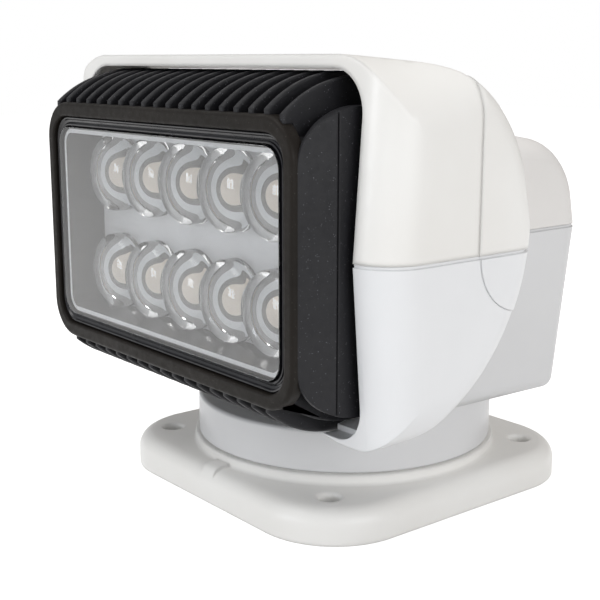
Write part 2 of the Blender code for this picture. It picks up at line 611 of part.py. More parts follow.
def housings():
    """Lower housing with its drum, and the cover that closes it at the seam."""
    outline = box_outline()
    half = BOX_HALF
    centre = (0.0, 0.0, 0.0)
    low_edge = SEAM - SEAM_GAP / 2
    high_edge = SEAM + SEAM_GAP / 2
    nothing = -FAR

    lower = cheeked("lower_housing", outline, half, draft=-BOX_DRAFT, draft_from=SEAM)
    keep(lower, box("under", (nothing, nothing, 0.0), (FAR, FAR, low_edge)))
    edge = DRUM_EDGE
    neck_top = BOX_BOTTOM + WALL / 2
    drum = turned("drum", [
        (0.0, DRUM_BOTTOM), (DRUM_RADIUS - edge / 3, DRUM_BOTTOM), (DRUM_RADIUS, DRUM_BOTTOM + edge / 3),
        (DRUM_RADIUS, neck_top - edge), (DRUM_RADIUS - edge, neck_top), (0.0, neck_top),
    ])
    step = box("step", (nothing, nothing, 0.0), (FAR, BOX_FRONT + WALL / 2, FAR))
    cut(step, turned("crown", [
        (0.0, nothing), (DRUM_RADIUS + GAP, nothing), (DRUM_RADIUS + GAP, DRUM_TOP - edge),
        (DRUM_RADIUS - edge, DRUM_TOP), (0.0, DRUM_TOP)]))
    cut(drum, step)
    join(lower, drum)
    inside = cheeked("inside", outline, half, inset=WALL, draft=-BOX_DRAFT, draft_from=SEAM)
    cut(lower, inside)
    neck_room = rod("neck_room", DRUM_RADIUS - DRUM_WALL, "Z", centre, DRUM_TOP, BOX_BOTTOM + WALL + 0.001, ROUND)
    keep(neck_room, box("neck_box", (-FAR, BOX_FRONT + WALL, 0.0), (FAR, BOX_REAR_FOOT - WALL, FAR)))
    cut(lower, neck_room)
    cut(lower, rod("drum_room", DRUM_RADIUS - DRUM_WALL, "Z", centre, 0.0, DRUM_FLOOR, ROUND))
    hub = BUSH_WALL + SPINDLE_RADIUS + 2 * GAP + WALL
    join(lower, rod("hub", hub, "Z", centre, HUB_Z, HUB_TOP, FINE))
    cut(lower, rod("hub_bore", hub - WALL, "Z", centre, 0.0, FAR, FINE))
    pan_angle = math.radians(PAN_DRIVE_ANGLE)
    pan_at = (DRIVE_DISTANCE * math.cos(pan_angle), DRIVE_DISTANCE * math.sin(pan_angle), 0.0)
    cut(lower, rod("pan_shaft_hole", PINION_SHAFT + 0.0015, "Z", pan_at, 0.0, FAR, 12))

    upper = cheeked("upper_housing", outline, half, draft=BOX_DRAFT, draft_from=SEAM)
    keep(upper, box("over", (nothing, nothing, high_edge), (FAR, FAR, FAR)))
    cut(upper, cheeked("inside", outline, half, inset=WALL, draft=BOX_DRAFT, draft_from=SEAM))

    for x, y in PILLAR_PLACES:
        foot = pillar_foot(x, y)
        join(lower, rod("pillar", PILLAR_RADIUS, "Z", (x, y, 0.0), foot - 0.001, low_edge, 20))
        cut(lower, rod("screw_way", SCREW_RADIUS + GAP, "Z", (x, y, 0.0), 0.0, FAR, 16))
        if foot > DRUM_TOP:
            cut(lower, rod("head_way", SCREW_HEAD + GAP, "Z", (x, y, 0.0), 0.0, foot + SCREW_HEAD_HEIGHT, 16))
        post = rod("post", PILLAR_RADIUS, "Z", (x, y, 0.0), high_edge, FAR, 20)
        keep(post, cheeked("within", outline, half, inset=WALL / 2, draft=BOX_DRAFT, draft_from=SEAM))
        join(upper, post)
        cut(upper, rod("pilot", SCREW_RADIUS + GAP, "Z", (x, y, 0.0), 0.0, SEAM + 0.015, 16))

    post_x = CONTROL_HALF_WIDTH - CONTROL_POST
    for x in (-post_x, post_x):
        stand = rod("stand", 0.003, "Y", (x, 0.0, CONTROL_Z), CONTROL_Y + BOARD_THICKNESS + GAP, FAR, 16)
        keep(stand, cheeked("within", outline, half, inset=WALL / 2, draft=-BOX_DRAFT, draft_from=SEAM))
        join(lower, stand)

    pivot = (0.0, PIVOT_Y, PIVOT_Z)
    for shell in (lower, upper):
        for side in (-1, 1):
            ends = sorted((side * (half - 0.012), side * (half + 0.01)))
            cut(shell, rod("bush_seat", BUSH_RADIUS + GAP, "X", pivot, *ends, FINE))
    return [lower, upper]


def housing_seals():
    """Seal strips in the seam of the housing, in front of and behind the pivot bushes."""
    front = PIVOT_Y - NOSE_RADIUS
    section = rectangle(BOX_HALF, (BOX_REAR - front) / 2, BOX_SIDE_ROUND, (0.0, (BOX_REAR + front) / 2))
    thick = SEAM_GAP / 2 - GAP
    strips = []
    for name, low, high in (
            ("housing_seal_front", -FAR, PIVOT_Y - BUSH_RADIUS - 2 * GAP),
            ("housing_seal_rear", PIVOT_Y + BUSH_RADIUS + 2 * GAP, FAR)):
        strip = prism(name, moved(section, WALL * 0.3), "Z", SEAM - thick, SEAM + thick)
        cut(strip, prism("inside", moved(section, WALL * 0.9), "Z", -FAR, FAR))
        keep(strip, box("slice", (-FAR, low, 0.0), (FAR, high, FAR)))
        strips.append(strip)
    return strips


def turntable_parts():
    """Bushes, chassis, motors, board, antenna and screws inside the housing."""
    centre = (0.0, 0.0, 0.0)
    inner = SPINDLE_RADIUS + GAP
    hub_bush = tube("hub_bush", inner, inner + BUSH_WALL, "Z", centre, HUB_Z + GAP, HUB_TOP, FINE)

    pan_angle = math.radians(PAN_DRIVE_ANGLE)
    pan_x = DRIVE_DISTANCE * math.cos(pan_angle)
    pan_y = DRIVE_DISTANCE * math.sin(pan_angle)
    tilt_angle = math.radians(TILT_DRIVE_ANGLE)
    tilt_y = PIVOT_Y + DRIVE_DISTANCE * math.cos(tilt_angle)
    tilt_z = PIVOT_Z + DRIVE_DISTANCE * math.sin(tilt_angle)
    wall_x = TILT_GEAR_X - 2 * GAP - CHASSIS_THICKNESS - 0.001
    floor = DRUM_TOP + GAP
    deck = floor + CHASSIS_THICKNESS
    side = GEARBOX_SIDE / 2

    riser_x = min(math.sqrt((DRUM_RADIUS - DRUM_WALL - 2 * GAP) ** 2 - (tilt_y + side) ** 2), wall_x - WALL / 2)
    shelf = BOX_BOTTOM + WALL + 2 * GAP
    chassis = box("drive_chassis", (pan_x - side - 0.002, tilt_y - side, floor), (riser_x, tilt_y + side, deck))
    riser = [(riser_x - CHASSIS_THICKNESS, floor + 0.0005), (riser_x, floor + 0.0005), (riser_x, shelf),
             (wall_x, shelf), (wall_x, shelf + CHASSIS_THICKNESS), (riser_x - CHASSIS_THICKNESS, shelf + CHASSIS_THICKNESS)]
    points = [[(x, y, z) for x, z in riser] for y in (tilt_y - side + 0.0005, tilt_y + side - 0.0005)]
    join(chassis, stack("riser", points))
    upright = rounded_outline([
        (tilt_y - side, shelf, 0.0, 0.0), (tilt_y + side, shelf, 0.0, 0.0),
        (tilt_y + side, tilt_z + side, 0.004, 0.0), (tilt_y - side, tilt_z + side, 0.004, 0.0)], 3)
    join(chassis, prism("upright", moved(upright, 0.0), "X", wall_x - CHASSIS_THICKNESS, wall_x))
    cut(chassis, rod("hub_room", SPINDLE_FLANGE + 0.0035, "Z", centre, 0.0, deck + 0.01, FINE))
    cut(chassis, rod("pan_way", PINION_SHAFT + 0.0015, "Z", (pan_x, pan_y, 0.0), 0.0, deck + 0.01, 12))
    cut(chassis, rod("tilt_way", PINION_SHAFT + 0.0015, "X", (0.0, tilt_y, tilt_z), wall_x - 0.01, wall_x + 0.01, 12))

    case = moved(rectangle(side, side, 0.003, (pan_x, pan_y), 3), 0.0)
    pan_gearbox = prism("pan_gearbox", case, "Z", deck + GAP, deck + GAP + GEARBOX_HEIGHT)
    motor_z = deck + 2 * GAP + GEARBOX_HEIGHT
    can = MOTOR_RADIUS
    pan_motor = turned("pan_motor", [
        (0.0, motor_z), (can, motor_z), (can, motor_z + PAN_MOTOR_LENGTH - 0.002),
        (can - 0.002, motor_z + PAN_MOTOR_LENGTH), (0.004, motor_z + PAN_MOTOR_LENGTH),
        (0.004, motor_z + PAN_MOTOR_LENGTH + 0.002), (0.0, motor_z + PAN_MOTOR_LENGTH + 0.002),
    ], centre=(pan_x, pan_y, 0.0), segments=FINE)

    face_x = wall_x - CHASSIS_THICKNESS - GAP
    case = moved(rectangle(side, side, 0.003, (tilt_y, tilt_z), 3), 0.0)
    tilt_gearbox = prism("tilt_gearbox", case, "X", face_x - GEARBOX_HEIGHT, face_x)
    motor_x = face_x - GEARBOX_HEIGHT - GAP
    tilt_motor = turned("tilt_motor", [
        (0.0, motor_x), (can, motor_x), (can, motor_x - TILT_MOTOR_LENGTH + 0.002),
        (can - 0.002, motor_x - TILT_MOTOR_LENGTH), (0.004, motor_x - TILT_MOTOR_LENGTH),
        (0.004, motor_x - TILT_MOTOR_LENGTH - 0.002), (0.0, motor_x - TILT_MOTOR_LENGTH - 0.002),
    ], "X", (0.0, tilt_y, tilt_z), FINE)

    pivot = (0.0, PIVOT_Y, PIVOT_Z)
    half = BOX_HALF
    bore = SHAFT_RADIUS + GAP
    bush_right = turned("pivot_bush_right", [
        (bore, half - WALL - 0.001), (BUSH_RADIUS, half - WALL - 0.001), (BUSH_RADIUS, half + GAP),
        (BUSH_RADIUS + BUSH_RIM, half + GAP), (BUSH_RADIUS + BUSH_RIM, half + GAP + BUSH_FLANGE),
        (bore, half + GAP + BUSH_FLANGE),
    ], "X", pivot, FINE)
    bush_left = mirrored(bush_right, "pivot_bush_left")

    board_top = CONTROL_Z + CONTROL_HALF_HEIGHT
    board = box("control_board", (-CONTROL_HALF_WIDTH, CONTROL_Y, CONTROL_Z - CONTROL_HALF_HEIGHT),
                (CONTROL_HALF_WIDTH, CONTROL_Y + BOARD_THICKNESS, board_top))
    for x, z, wide, high, deep in ((-0.52, 0.30, 0.17, 0.35, 5.6), (0.00, -0.30, 0.21, 0.45, 1.9),
                                   (0.48, 0.20, 0.19, 0.30, 4.4)):
        join(board, box("block", (CONTROL_HALF_WIDTH * (x - wide), CONTROL_Y - BOARD_THICKNESS * deep,
                                  CONTROL_Z + CONTROL_HALF_HEIGHT * (z - high)),
                        (CONTROL_HALF_WIDTH * (x + wide), CONTROL_Y + BOARD_THICKNESS / 2,
                         CONTROL_Z + CONTROL_HALF_HEIGHT * (z + high))))
    aerial_x = CONTROL_HALF_WIDTH - CONTROL_POST
    aerial_y = CONTROL_Y + BOARD_THICKNESS / 2
    foot_z = board_top + GAP
    antenna = turned("antenna", [
        (0.0, foot_z), (0.0025, foot_z), (0.0025, foot_z + 0.004), (0.001, foot_z + 0.006),
        (0.001, BOX_TOP - 0.012), (0.0, BOX_TOP - 0.011),
    ], centre=(aerial_x, aerial_y, 0.0), segments=12)

    screws = []
    for number, (x, y) in enumerate(PILLAR_PLACES, 1):
        foot = pillar_foot(x, y)
        head = foot + SCREW_HEAD_HEIGHT - GAP if foot > DRUM_TOP else DRUM_FLOOR - GAP
        screws.append(turned("housing_screw_%d" % number, [
            (0.0, head - SCREW_HEAD_HEIGHT), (SCREW_HEAD * 0.8, head - SCREW_HEAD_HEIGHT),
            (SCREW_HEAD, head - SCREW_HEAD_HEIGHT * 0.6), (SCREW_HEAD, head), (SCREW_RADIUS, head),
            (SCREW_RADIUS, SEAM + 0.012), (0.0, SEAM + 0.014),
        ], centre=(x, y, 0.0), segments=16))
    return [hub_bush, chassis, pan_gearbox, pan_motor, tilt_gearbox, tilt_motor,
            bush_right, bush_left, board, antenna] + screws


def pinions():
    """The two driven pinions, each meshed with its gear at rest."""
    pan_angle = math.radians(PAN_DRIVE_ANGLE)
    at = (DRIVE_DISTANCE * math.cos(pan_angle), DRIVE_DISTANCE * math.sin(pan_angle), 0.0)
    half_pitch = math.pi / PINION_TEETH
    low = GEAR_Z + 0.0006
    wide = GEAR_WIDTH - 0.0012
    pan = gear("pan_pinion", PINION_TEETH, wide, 0.0, "Z", at, low, pan_angle + math.pi + half_pitch)
    join(pan, rod("axle", PINION_SHAFT, "Z", at, low + 0.001, DRUM_TOP + CHASSIS_THICKNESS + GAP, 16))

    tilt_angle = math.radians(TILT_DRIVE_ANGLE)
    at = (0.0, PIVOT_Y + DRIVE_DISTANCE * math.cos(tilt_angle), PIVOT_Z + DRIVE_DISTANCE * math.sin(tilt_angle))
    low = TILT_GEAR_X + 0.0006
    tilt = gear("tilt_pinion", PINION_TEETH, wide, 0.0, "X", at, low, tilt_angle + math.pi + half_pitch)
    end = TILT_GEAR_X - 2 * GAP - CHASSIS_THICKNESS - 0.001
    join(tilt, rod("axle", PINION_SHAFT, "X", at, end - CHASSIS_THICKNESS + GAP, low + 0.001, 16))
    return [pan, tilt]


def hood_outline():
    """Side outline of the hood: a leaning front edge, a flat top and large rear rounds."""
    lean = HOOD_FRONT + HOOD_LEAN
    tall = HOOD_TOP - HOOD_BOTTOM
    heel = (HOOD_REAR - HOOD_HEEL, HOOD_BOTTOM + HOOD_HEEL_RISE)
    shoulder = (HOOD_REAR - HOOD_SHOULDER, HOOD_TOP - HOOD_SHOULDER_FALL)
    return rounded_outline([
        (lean, HOOD_BOTTOM, 0.0, SEAM_GAP),
        (*heel, tall * HOOD_LOW_BEND, HOOD_BACK_ROUND),
        (HOOD_REAR, SEAM + HOOD_REAR_RISE, tall * HOOD_MID_BEND, HOOD_BACK_ROUND),
        (*shoulder, tall * HOOD_TOP_BEND, HOOD_BACK_ROUND),
        (lean, HOOD_TOP, 0.0, SEAM_GAP),
        (HOOD_FRONT, SEAM, 0.0, SEAM_GAP),
    ], 10)


def hood_solid(name, inset):
    """The hood's form with every face moved in by inset."""
    solid = cheeked(name, hood_outline(), HOOD_HALF, inset=inset, steps=4)
    for side in (-1, 1):
        for cutter in hood_edges(side, inset):
            cut(solid, cutter)
    return solid


def hood_edges(side, inset):
    """Cutters for one cheek: the roll into the front edge, and the corners above and below."""
    flat = HOOD_HALF - inset + WELD * 5
    beyond = HOOD_HALF + WALL * 2
    radius = HOOD_RIM_ROUND - inset
    steps = 6
    roll = []
    for k in range(steps + 1):
        turn = math.pi / 2 * k / steps
        roll.append((flat - radius * (1.0 - math.cos(turn)), radius * (1.0 - math.sin(turn))))
    roll += [(flat - radius, -WALL * 4), (beyond, -WALL * 4), (beyond, radius)]
    rings = []
    for height, lean in ((HOOD_BOTTOM - WALL * 4, 1.0), (SEAM, 0.0), (HOOD_TOP + WALL * 4, 1.0)):
        reach = abs(height - SEAM) / (HOOD_TOP - SEAM) * HOOD_LEAN * lean
        rings.append([(side * x, HOOD_FRONT + inset + reach + y, height) for x, y in roll])
    cutters = [stack("front_roll", rings)]

    radius = HOOD_CORNER - inset
    for edge, up in ((HOOD_TOP - inset, 1.0), (HOOD_BOTTOM + inset, -1.0)):
        corner = []
        for k in range(steps + 1):
            turn = math.pi / 2 * k / steps
            corner.append((side * (flat - radius * (1.0 - math.cos(turn))),
                           edge + up * (WELD * 5 - radius * (1.0 - math.sin(turn)))))
        corner += [(side * (flat - radius), edge + up * WALL * 4), (side * beyond, edge + up * WALL * 4),
                   (side * beyond, edge - up * radius)]
        cutters.append(prism("corner", corner, "Y", -FAR, FAR))
    return cutters


def hood_skin(name, proud):
    """The whole hood before it is split: a shell with a front opening and a slot for the housing."""
    skin = hood_solid(name, -proud)
    room = hood_solid("room", WALL)
    for side in (-1, 1):
        low, high = sorted((side * (SLOT_HALF - 0.01), side * POD_INNER))
        cut(room, box("inner_wall", (low, STRIP_REAR, -FAR), (high, FAR, FAR)))
    cut(skin, room)
    cut(skin, box("slot", (-SLOT_HALF, STRIP_REAR, -FAR), (SLOT_HALF, FAR, FAR)))
    low = HOOD_BOTTOM + OPENING_RIM
    high = HOOD_TOP - OPENING_RIM
    opening = rectangle(OPENING_HALF, (high - low) / 2, OPENING_CORNER, (0.0, (high + low) / 2))
    front = HOOD_FRONT + HOOD_LEAN + WALL + 0.004
    cut(skin, prism("opening", moved(opening, 0.0), "Y", -FAR, front))
    return skin


def hood_parts():
    """Upper hood, rear bands, lower hood halves and pivot covers."""
    low_edge = SEAM - SEAM_GAP / 2
    high_edge = SEAM + SEAM_GAP / 2
    skin = hood_skin("skin", 0.0)
    proud = hood_skin("proud", PROUD)

    upper = copy_of(skin, "hood_upper")
    keep(upper, box("front_top", (-FAR, -FAR, high_edge), (FAR, BAND_LINE - GAP / 2, FAR)))
    band = copy_of(proud, "hood_band_right")
    keep(band, box("rear_top", (0.0, BAND_LINE + GAP / 2, high_edge), (FAR, FAR, FAR)))

    lower = copy_of(skin, "hood_lower_right")
    keep(lower, box("lower_half", (HOOD_HALF - LIP_LENGTH, -FAR, -FAR), (FAR, FAR, SEAM + GAP)))
    rebate = box("rebate", (0.0, -FAR, low_edge), (FAR, FAR, FAR))
    cut(rebate, hood_solid("lip", WALL / 2))
    cut(lower, rebate)
    pivot = (0.0, PIVOT_Y, PIVOT_Z)
    reach = HOOD_HALF - COVER_REACH
    cut(lower, rod("cover_seat", COVER_RADIUS + GAP, "X", pivot, reach - GAP, FAR, ROUND))

    cover = copy_of(proud, "pivot_cover_right")
    keep(cover, rod("disc", COVER_RADIUS, "X", pivot, reach, FAR, ROUND))
    keep(cover, box("half_disc", (0.0, -FAR, 0.0), (FAR, FAR, low_edge)))

    shaft_hole = SHAFT_RADIUS + GAP
    for shell in (band, lower):
        cut(shell, rod("shaft_way", shaft_hole, "X", pivot, SLOT_HALF - 0.01, POD_INNER + 0.001, FINE))
    pieces = [upper, band, lower, cover]
    pieces += [mirrored(band, "hood_band_left"), mirrored(lower, "hood_lower_left"),
               mirrored(cover, "pivot_cover_left")]
    discard(skin, proud)
    return pieces


def fin_outline(drop, root):
    """Side outline of one upper fin, rooted in the lamp's core."""
    centre_z = LAMP_CENTRE_Z + FIN_REACH - FIN_ARC
    front = LAMP_FRONT + LAMP_EDGE + 0.0005
    start = math.acos((front - FIN_ARC_Y) / FIN_ARC)
    steps = 6
    arc = []
    for k in range(steps + 1):
        angle = start + (math.pi / 2 - start) * k / steps
        arc.append((FIN_ARC_Y + FIN_ARC * math.cos(angle), centre_z + FIN_ARC * math.sin(angle) - drop))
    back = LAMP_REAR - FIN_SETBACK
    return arc + [(back, arc[-1][1]), (back, root), (front, root)]


def lamp_housing():
    """Cast lamp body: front frame, core, fins above and below, side panels and screw bosses."""
    frame = rectangle(LAMP_HALF_WIDTH, LAMP_HALF_HEIGHT, LAMP_CORNER, (0.0, LAMP_CENTRE_Z), 8)
    rings = []
    for inset, depth in ((LAMP_EDGE, 0.0), (LAMP_EDGE * 0.3, LAMP_EDGE * 0.3), (0.0, LAMP_EDGE), (0.0, FRAME_DEPTH)):
        rings.append([(u, LAMP_FRONT + depth, v) for u, v in moved(frame, inset)])
    item = stack("lamp_housing", rings)
    front = LAMP_FRONT + FRAME_DEPTH - 0.001
    core = rectangle(CORE_HALF_WIDTH, CORE_HALF_HEIGHT, CORE_CORNER, (0.0, LAMP_CENTRE_Z), 4)
    join(item, prism("core", moved(core, 0.0), "Y", front, LAMP_REAR))

    root = LAMP_CENTRE_Z + CORE_HALF_HEIGHT - 0.003
    places = [((k - (FIN_COUNT - 1) / 2) * FIN_PITCH, 0.0, 0.0) for k in range(FIN_COUNT)]
    places += [(-CORNER_FIN_X, FIN_DROP, FIN_DROP_LOW), (CORNER_FIN_X, FIN_DROP, FIN_DROP_LOW)]
    for x, *drops in places:
        for side, drop in zip((1, -1), drops):
            outline = [(y, LAMP_CENTRE_Z + side * (z - LAMP_CENTRE_Z)) for y, z in fin_outline(drop, root)]
            join(item, prism("fin", outline, "X", x - FIN_THICKNESS / 2, x + FIN_THICKNESS / 2))

    for side in (-1, 1):
        join(item, side_panel(side))
        for high in (-1, 1):
            beyond = CORE_CORNER - BOSS_INSET
            rise = CORE_HALF_HEIGHT - CORE_CORNER + math.sqrt(CORE_CORNER ** 2 - beyond ** 2)
            at = (side * (CORE_HALF_WIDTH - BOSS_INSET), 0.0, LAMP_CENTRE_Z + high * (rise + BOSS_RADIUS * 0.4))
            join(item, rod("boss", BOSS_RADIUS, "Y", at, LAMP_FRONT + BOSS_BACK, LAMP_REAR - FIN_SETBACK, 12))

    window = rectangle(LAMP_HALF_WIDTH - LAMP_FRAME, LAMP_HALF_HEIGHT - LAMP_FRAME_HIGH,
                       LAMP_CORNER - LAMP_FRAME, (0.0, LAMP_CENTRE_Z), 6)
    seat = LAMP_FRONT + LENS_THICKNESS + 0.001 + GAP
    cut(item, prism("window", moved(window, 0.0), "Y", -FAR, seat))
    cut(item, prism("cavity", moved(window, LEDGE), "Y", seat - 0.001, LAMP_REAR - CAVITY_FLOOR))
    cut(item, rod("wire_hole", INLET_RADIUS, "Y", (0.0, 0.0, LAMP_CENTRE_Z), LAMP_REAR - 2 * CAVITY_FLOOR, FAR, 16))
    return item


def side_panel(side):
    """Side wall of the lamp: flares out from the frame to a parting line, then runs back."""
    front = LAMP_FRONT + LAMP_EDGE + 0.001
    back = LAMP_REAR - FIN_SETBACK
    inner = PANEL_INNER
    steps = 6
    upper = []
    for k in range(steps + 1):
        angle = math.pi / 2 * k / steps
        upper.append((front + PANEL_ARC * (1.0 - math.cos(angle)),
                      PANEL_HALF_HEIGHT - PANEL_ARC_RISE * (1.0 - math.sin(angle))))
    upper.append((back, PANEL_HALF_HEIGHT))
    shape = [(y, LAMP_CENTRE_Z + z) for y, z in upper] + [(y, LAMP_CENTRE_Z - z) for y, z in reversed(upper)]
    plan = [(side * inner, front), (side * LAMP_HALF_WIDTH, front), (side * PANEL_HALF, PANEL_LINE),
            (side * PANEL_HALF, back), (side * inner, back)]
    panel = prism("panel", plan, "Z", -FAR, FAR)
    keep(panel, prism("shape", shape, "X", -FAR, FAR))
    cut(panel, box("groove", (side * (PANEL_HALF - PANEL_STEP), PANEL_LINE, -FAR),
                   (side * FAR, PANEL_LINE + PANEL_STEP / 2, FAR)))
    return panel


def optic_places():
    for row in (0, 1):
        for column in range(OPTIC_COLUMNS):
            x = (column - (OPTIC_COLUMNS - 1) / 2) * OPTIC_PITCH
            z = LAMP_CENTRE_Z + (0.5 - row) * OPTIC_ROW_GAP
            yield x, z


def lamp_parts():
    """Window lens, its gasket, the optic tray, ten optics and the LED board."""
    seat = LAMP_FRONT + 0.001
    size = rectangle(LENS_HALF_WIDTH, LENS_HALF_HEIGHT, LAMP_CORNER - LAMP_FRAME - GASKET_WIDTH,
                     (0.0, LAMP_CENTRE_Z), 6)
    rings = []
    for inset, depth in ((0.0006, 0.0), (0.0, 0.0006), (0.0, LENS_THICKNESS)):
        rings.append([(u, seat + depth, v) for u, v in moved(size, inset)])
    lens = stack("lens", rings)
    gasket = prism("lens_gasket", moved(size, -GAP - GASKET_WIDTH), "Y", seat + 0.0004, seat + LENS_THICKNESS)
    cut(gasket, prism("inside", moved(size, -GAP), "Y", -FAR, FAR))

    opening = rectangle(LAMP_HALF_WIDTH - LAMP_FRAME - LEDGE - GAP, LAMP_HALF_HEIGHT - LAMP_FRAME_HIGH - LEDGE - GAP,
                        LAMP_CORNER - LAMP_FRAME - LEDGE, (0.0, LAMP_CENTRE_Z), 6)
    plate = LAMP_FRONT + OPTIC_SEAT
    floor = LAMP_REAR - CAVITY_FLOOR
    tray = prism("optic_tray", moved(opening, 0.0), "Y", seat + LENS_THICKNESS + 2 * GAP, plate + TRAY_WALL)
    cut(tray, prism("inside", moved(opening, TRAY_WALL), "Y", -FAR, plate))
    board = box("led_board", (-LENS_HALF_WIDTH + BOARD_MARGIN, floor - GAP - BOARD_THICKNESS, LAMP_CENTRE_Z - LENS_HALF_HEIGHT + BOARD_MARGIN),
                (LENS_HALF_WIDTH - BOARD_MARGIN, floor - GAP, LAMP_CENTRE_Z + LENS_HALF_HEIGHT - BOARD_MARGIN))
    led_top = floor - GAP - BOARD_THICKNESS - LED_HEIGHT
    optics = []
    for number, (x, z) in enumerate(optic_places(), 1):
        at = (x, 0.0, z)
        cut(tray, rod("stem_hole", OPTIC_STEM + GAP, "Y", at, plate - 0.01, plate + 0.01, 16))
        join(board, rod("led", LED_RADIUS, "Y", at, led_top, floor - 2 * GAP, 12))
        base = plate - GAP
        rim = base - OPTIC_HEIGHT
        dome = [(OPTIC_RADIUS * math.cos(turn), rim - OPTIC_DOME * math.sin(turn))
                for turn in (0.35, 0.8, 1.2)]
        profile = [(0.0, led_top - 2 * GAP), (OPTIC_STEM * 0.6, led_top - 2 * GAP), (OPTIC_STEM, plate + TRAY_WALL),
                   (OPTIC_STEM, base), (OPTIC_RADIUS, base), (OPTIC_RADIUS, rim)] + dome + [(0.0, rim - OPTIC_DOME)]
        optics.append(turned("optic_%02d" % number, profile, "Y", at, 18))
    return [lens, gasket, tray, board] + optics


def tilt_parts():
    """Arms from the lamp to the pivots, the two pivot shafts, the tilt gear and the shaft collar."""
    pivot = (0.0, PIVOT_Y, PIVOT_Z)
    front = LAMP_REAR + GAP
    eye = PIVOT_Y + ARM_EYE
    outline = rounded_outline([
        (front, PIVOT_Z - ARM_HEIGHT / 2, 0.0, 0.0), (eye, PIVOT_Z - ARM_EYE, ARM_EYE * 0.98, 0.0),
        (eye, PIVOT_Z + ARM_EYE, ARM_EYE * 0.98, 0.0), (front, PIVOT_Z + ARM_HEIGHT / 2, 0.0, 0.0)], 6)
    arm = prism("pivot_arm_right", moved(outline, 0.0), "X", ARM_X, ARM_X + ARM_THICKNESS)
    join(arm, box("foot", (ARM_X + ARM_THICKNESS - ARM_FOOT, front, PIVOT_Z - ARM_HEIGHT / 2),
                  (ARM_X + ARM_THICKNESS / 2, front + ARM_THICKNESS, PIVOT_Z + ARM_HEIGHT / 2)))
    cut(arm, rod("shaft_hole", SHAFT_RADIUS + GAP, "X", pivot, 0.0, FAR, FINE))
    head_x = ARM_X + ARM_THICKNESS + GAP
    shaft = turned("pivot_shaft_right", [
        (0.0, TILT_GEAR_X), (SHAFT_RADIUS, TILT_GEAR_X), (SHAFT_RADIUS, head_x), (SHAFT_RADIUS + 0.002, head_x),
        (SHAFT_RADIUS + 0.002, head_x + 0.003), (0.0, head_x + 0.003),
    ], "X", pivot, FINE)
    tilt_angle = math.radians(TILT_DRIVE_ANGLE)
    tilt_gear = gear("tilt_gear", GEAR_TEETH, GEAR_WIDTH, SHAFT_RADIUS + GAP, "X", pivot, TILT_GEAR_X, tilt_angle)
    collar_x = BOX_HALF - WALL - 0.0018
    collar = tube("shaft_collar", SHAFT_RADIUS + GAP, SHAFT_RADIUS + 0.005, "X", pivot,
                  -collar_x, -collar_x + 0.006, FINE)
    return [arm, mirrored(arm, "pivot_arm_left"), shaft, mirrored(shaft, "pivot_shaft_left"), tilt_gear, collar]


WHITE = ("white_plastic", (0.80, 0.79, 0.77), 0.42, 0.0)
BLACK = ("black_coating", (0.018, 0.018, 0.020), 0.50, 0.0)
CLEAR = ("clear_plastic", (0.90, 0.92, 0.94), 0.05, 0.0)
SILVER = ("silver_plate", (0.66, 0.67, 0.69), 0.35, 0.6)
STEEL = ("steel", (0.56, 0.57, 0.59), 0.32, 1.0)
BRONZE = ("bronze", (0.60, 0.42, 0.24), 0.40, 1.0)
RUBBER = ("black_rubber", (0.02, 0.02, 0.02), 0.75, 0.0)
NYLON = ("nylon", (0.78, 0.76, 0.70), 0.45, 0.0)
GREEN = ("circuit_board", (0.05, 0.20, 0.10), 0.45, 0.0)


def finish(items, materials):
    """Give each piece its material and smooth shading on its round faces."""
    looks = {
        "base_flange": WHITE, "lower_housing": WHITE, "upper_housing": WHITE,
        "pan_gear": NYLON, "pan_pinion": STEEL, "tilt_gear": NYLON, "tilt_pinion": STEEL,
        "spindle": STEEL, "spindle_nut": STEEL, "thrust_washer": NYLON, "hub_bush": BRONZE,
        "cable_grommet": RUBBER, "lens_gasket": RUBBER, "housing_seal_front": RUBBER,
        "housing_seal_rear": RUBBER, "drive_chassis": STEEL, "pan_gearbox": STEEL, "pan_motor": STEEL,
        "tilt_gearbox": STEEL, "tilt_motor": STEEL, "control_board": GREEN, "antenna": STEEL,
        "led_board": SILVER, "optic_tray": SILVER, "lens": CLEAR, "lamp_housing": BLACK,
        "shaft_collar": STEEL,
    }
    families = (("hood_", WHITE), ("pivot_cover", WHITE), ("pivot_bush", BRONZE), ("pivot_arm", STEEL),
                ("pivot_shaft", STEEL), ("housing_screw", STEEL), ("optic_", CLEAR))
    for item in items:
        look = looks.get(item.name)
        if look is None:
            look = next(value for start, value in families if item.name.startswith(start))
        if look[0] not in materials:
            materials[look[0]] = make_material(*look)
        item.data.materials.clear()
        item.data.materials.append(materials[look[0]])
        item.data.shade_smooth()
        item.data.set_sharp_from_angle(angle=math.radians(32.0))


def carry(items, name, origin):
    """Parent pieces to an empty on their joint's axis."""
    axis = bpy.data.objects.new(name, None)
    axis.location = origin
    bpy.context.scene.collection.objects.link(axis)
    for item in items:
        item.data.transform(Matrix.Translation(-Vector(origin)))
        item.parent = axis
    return axis


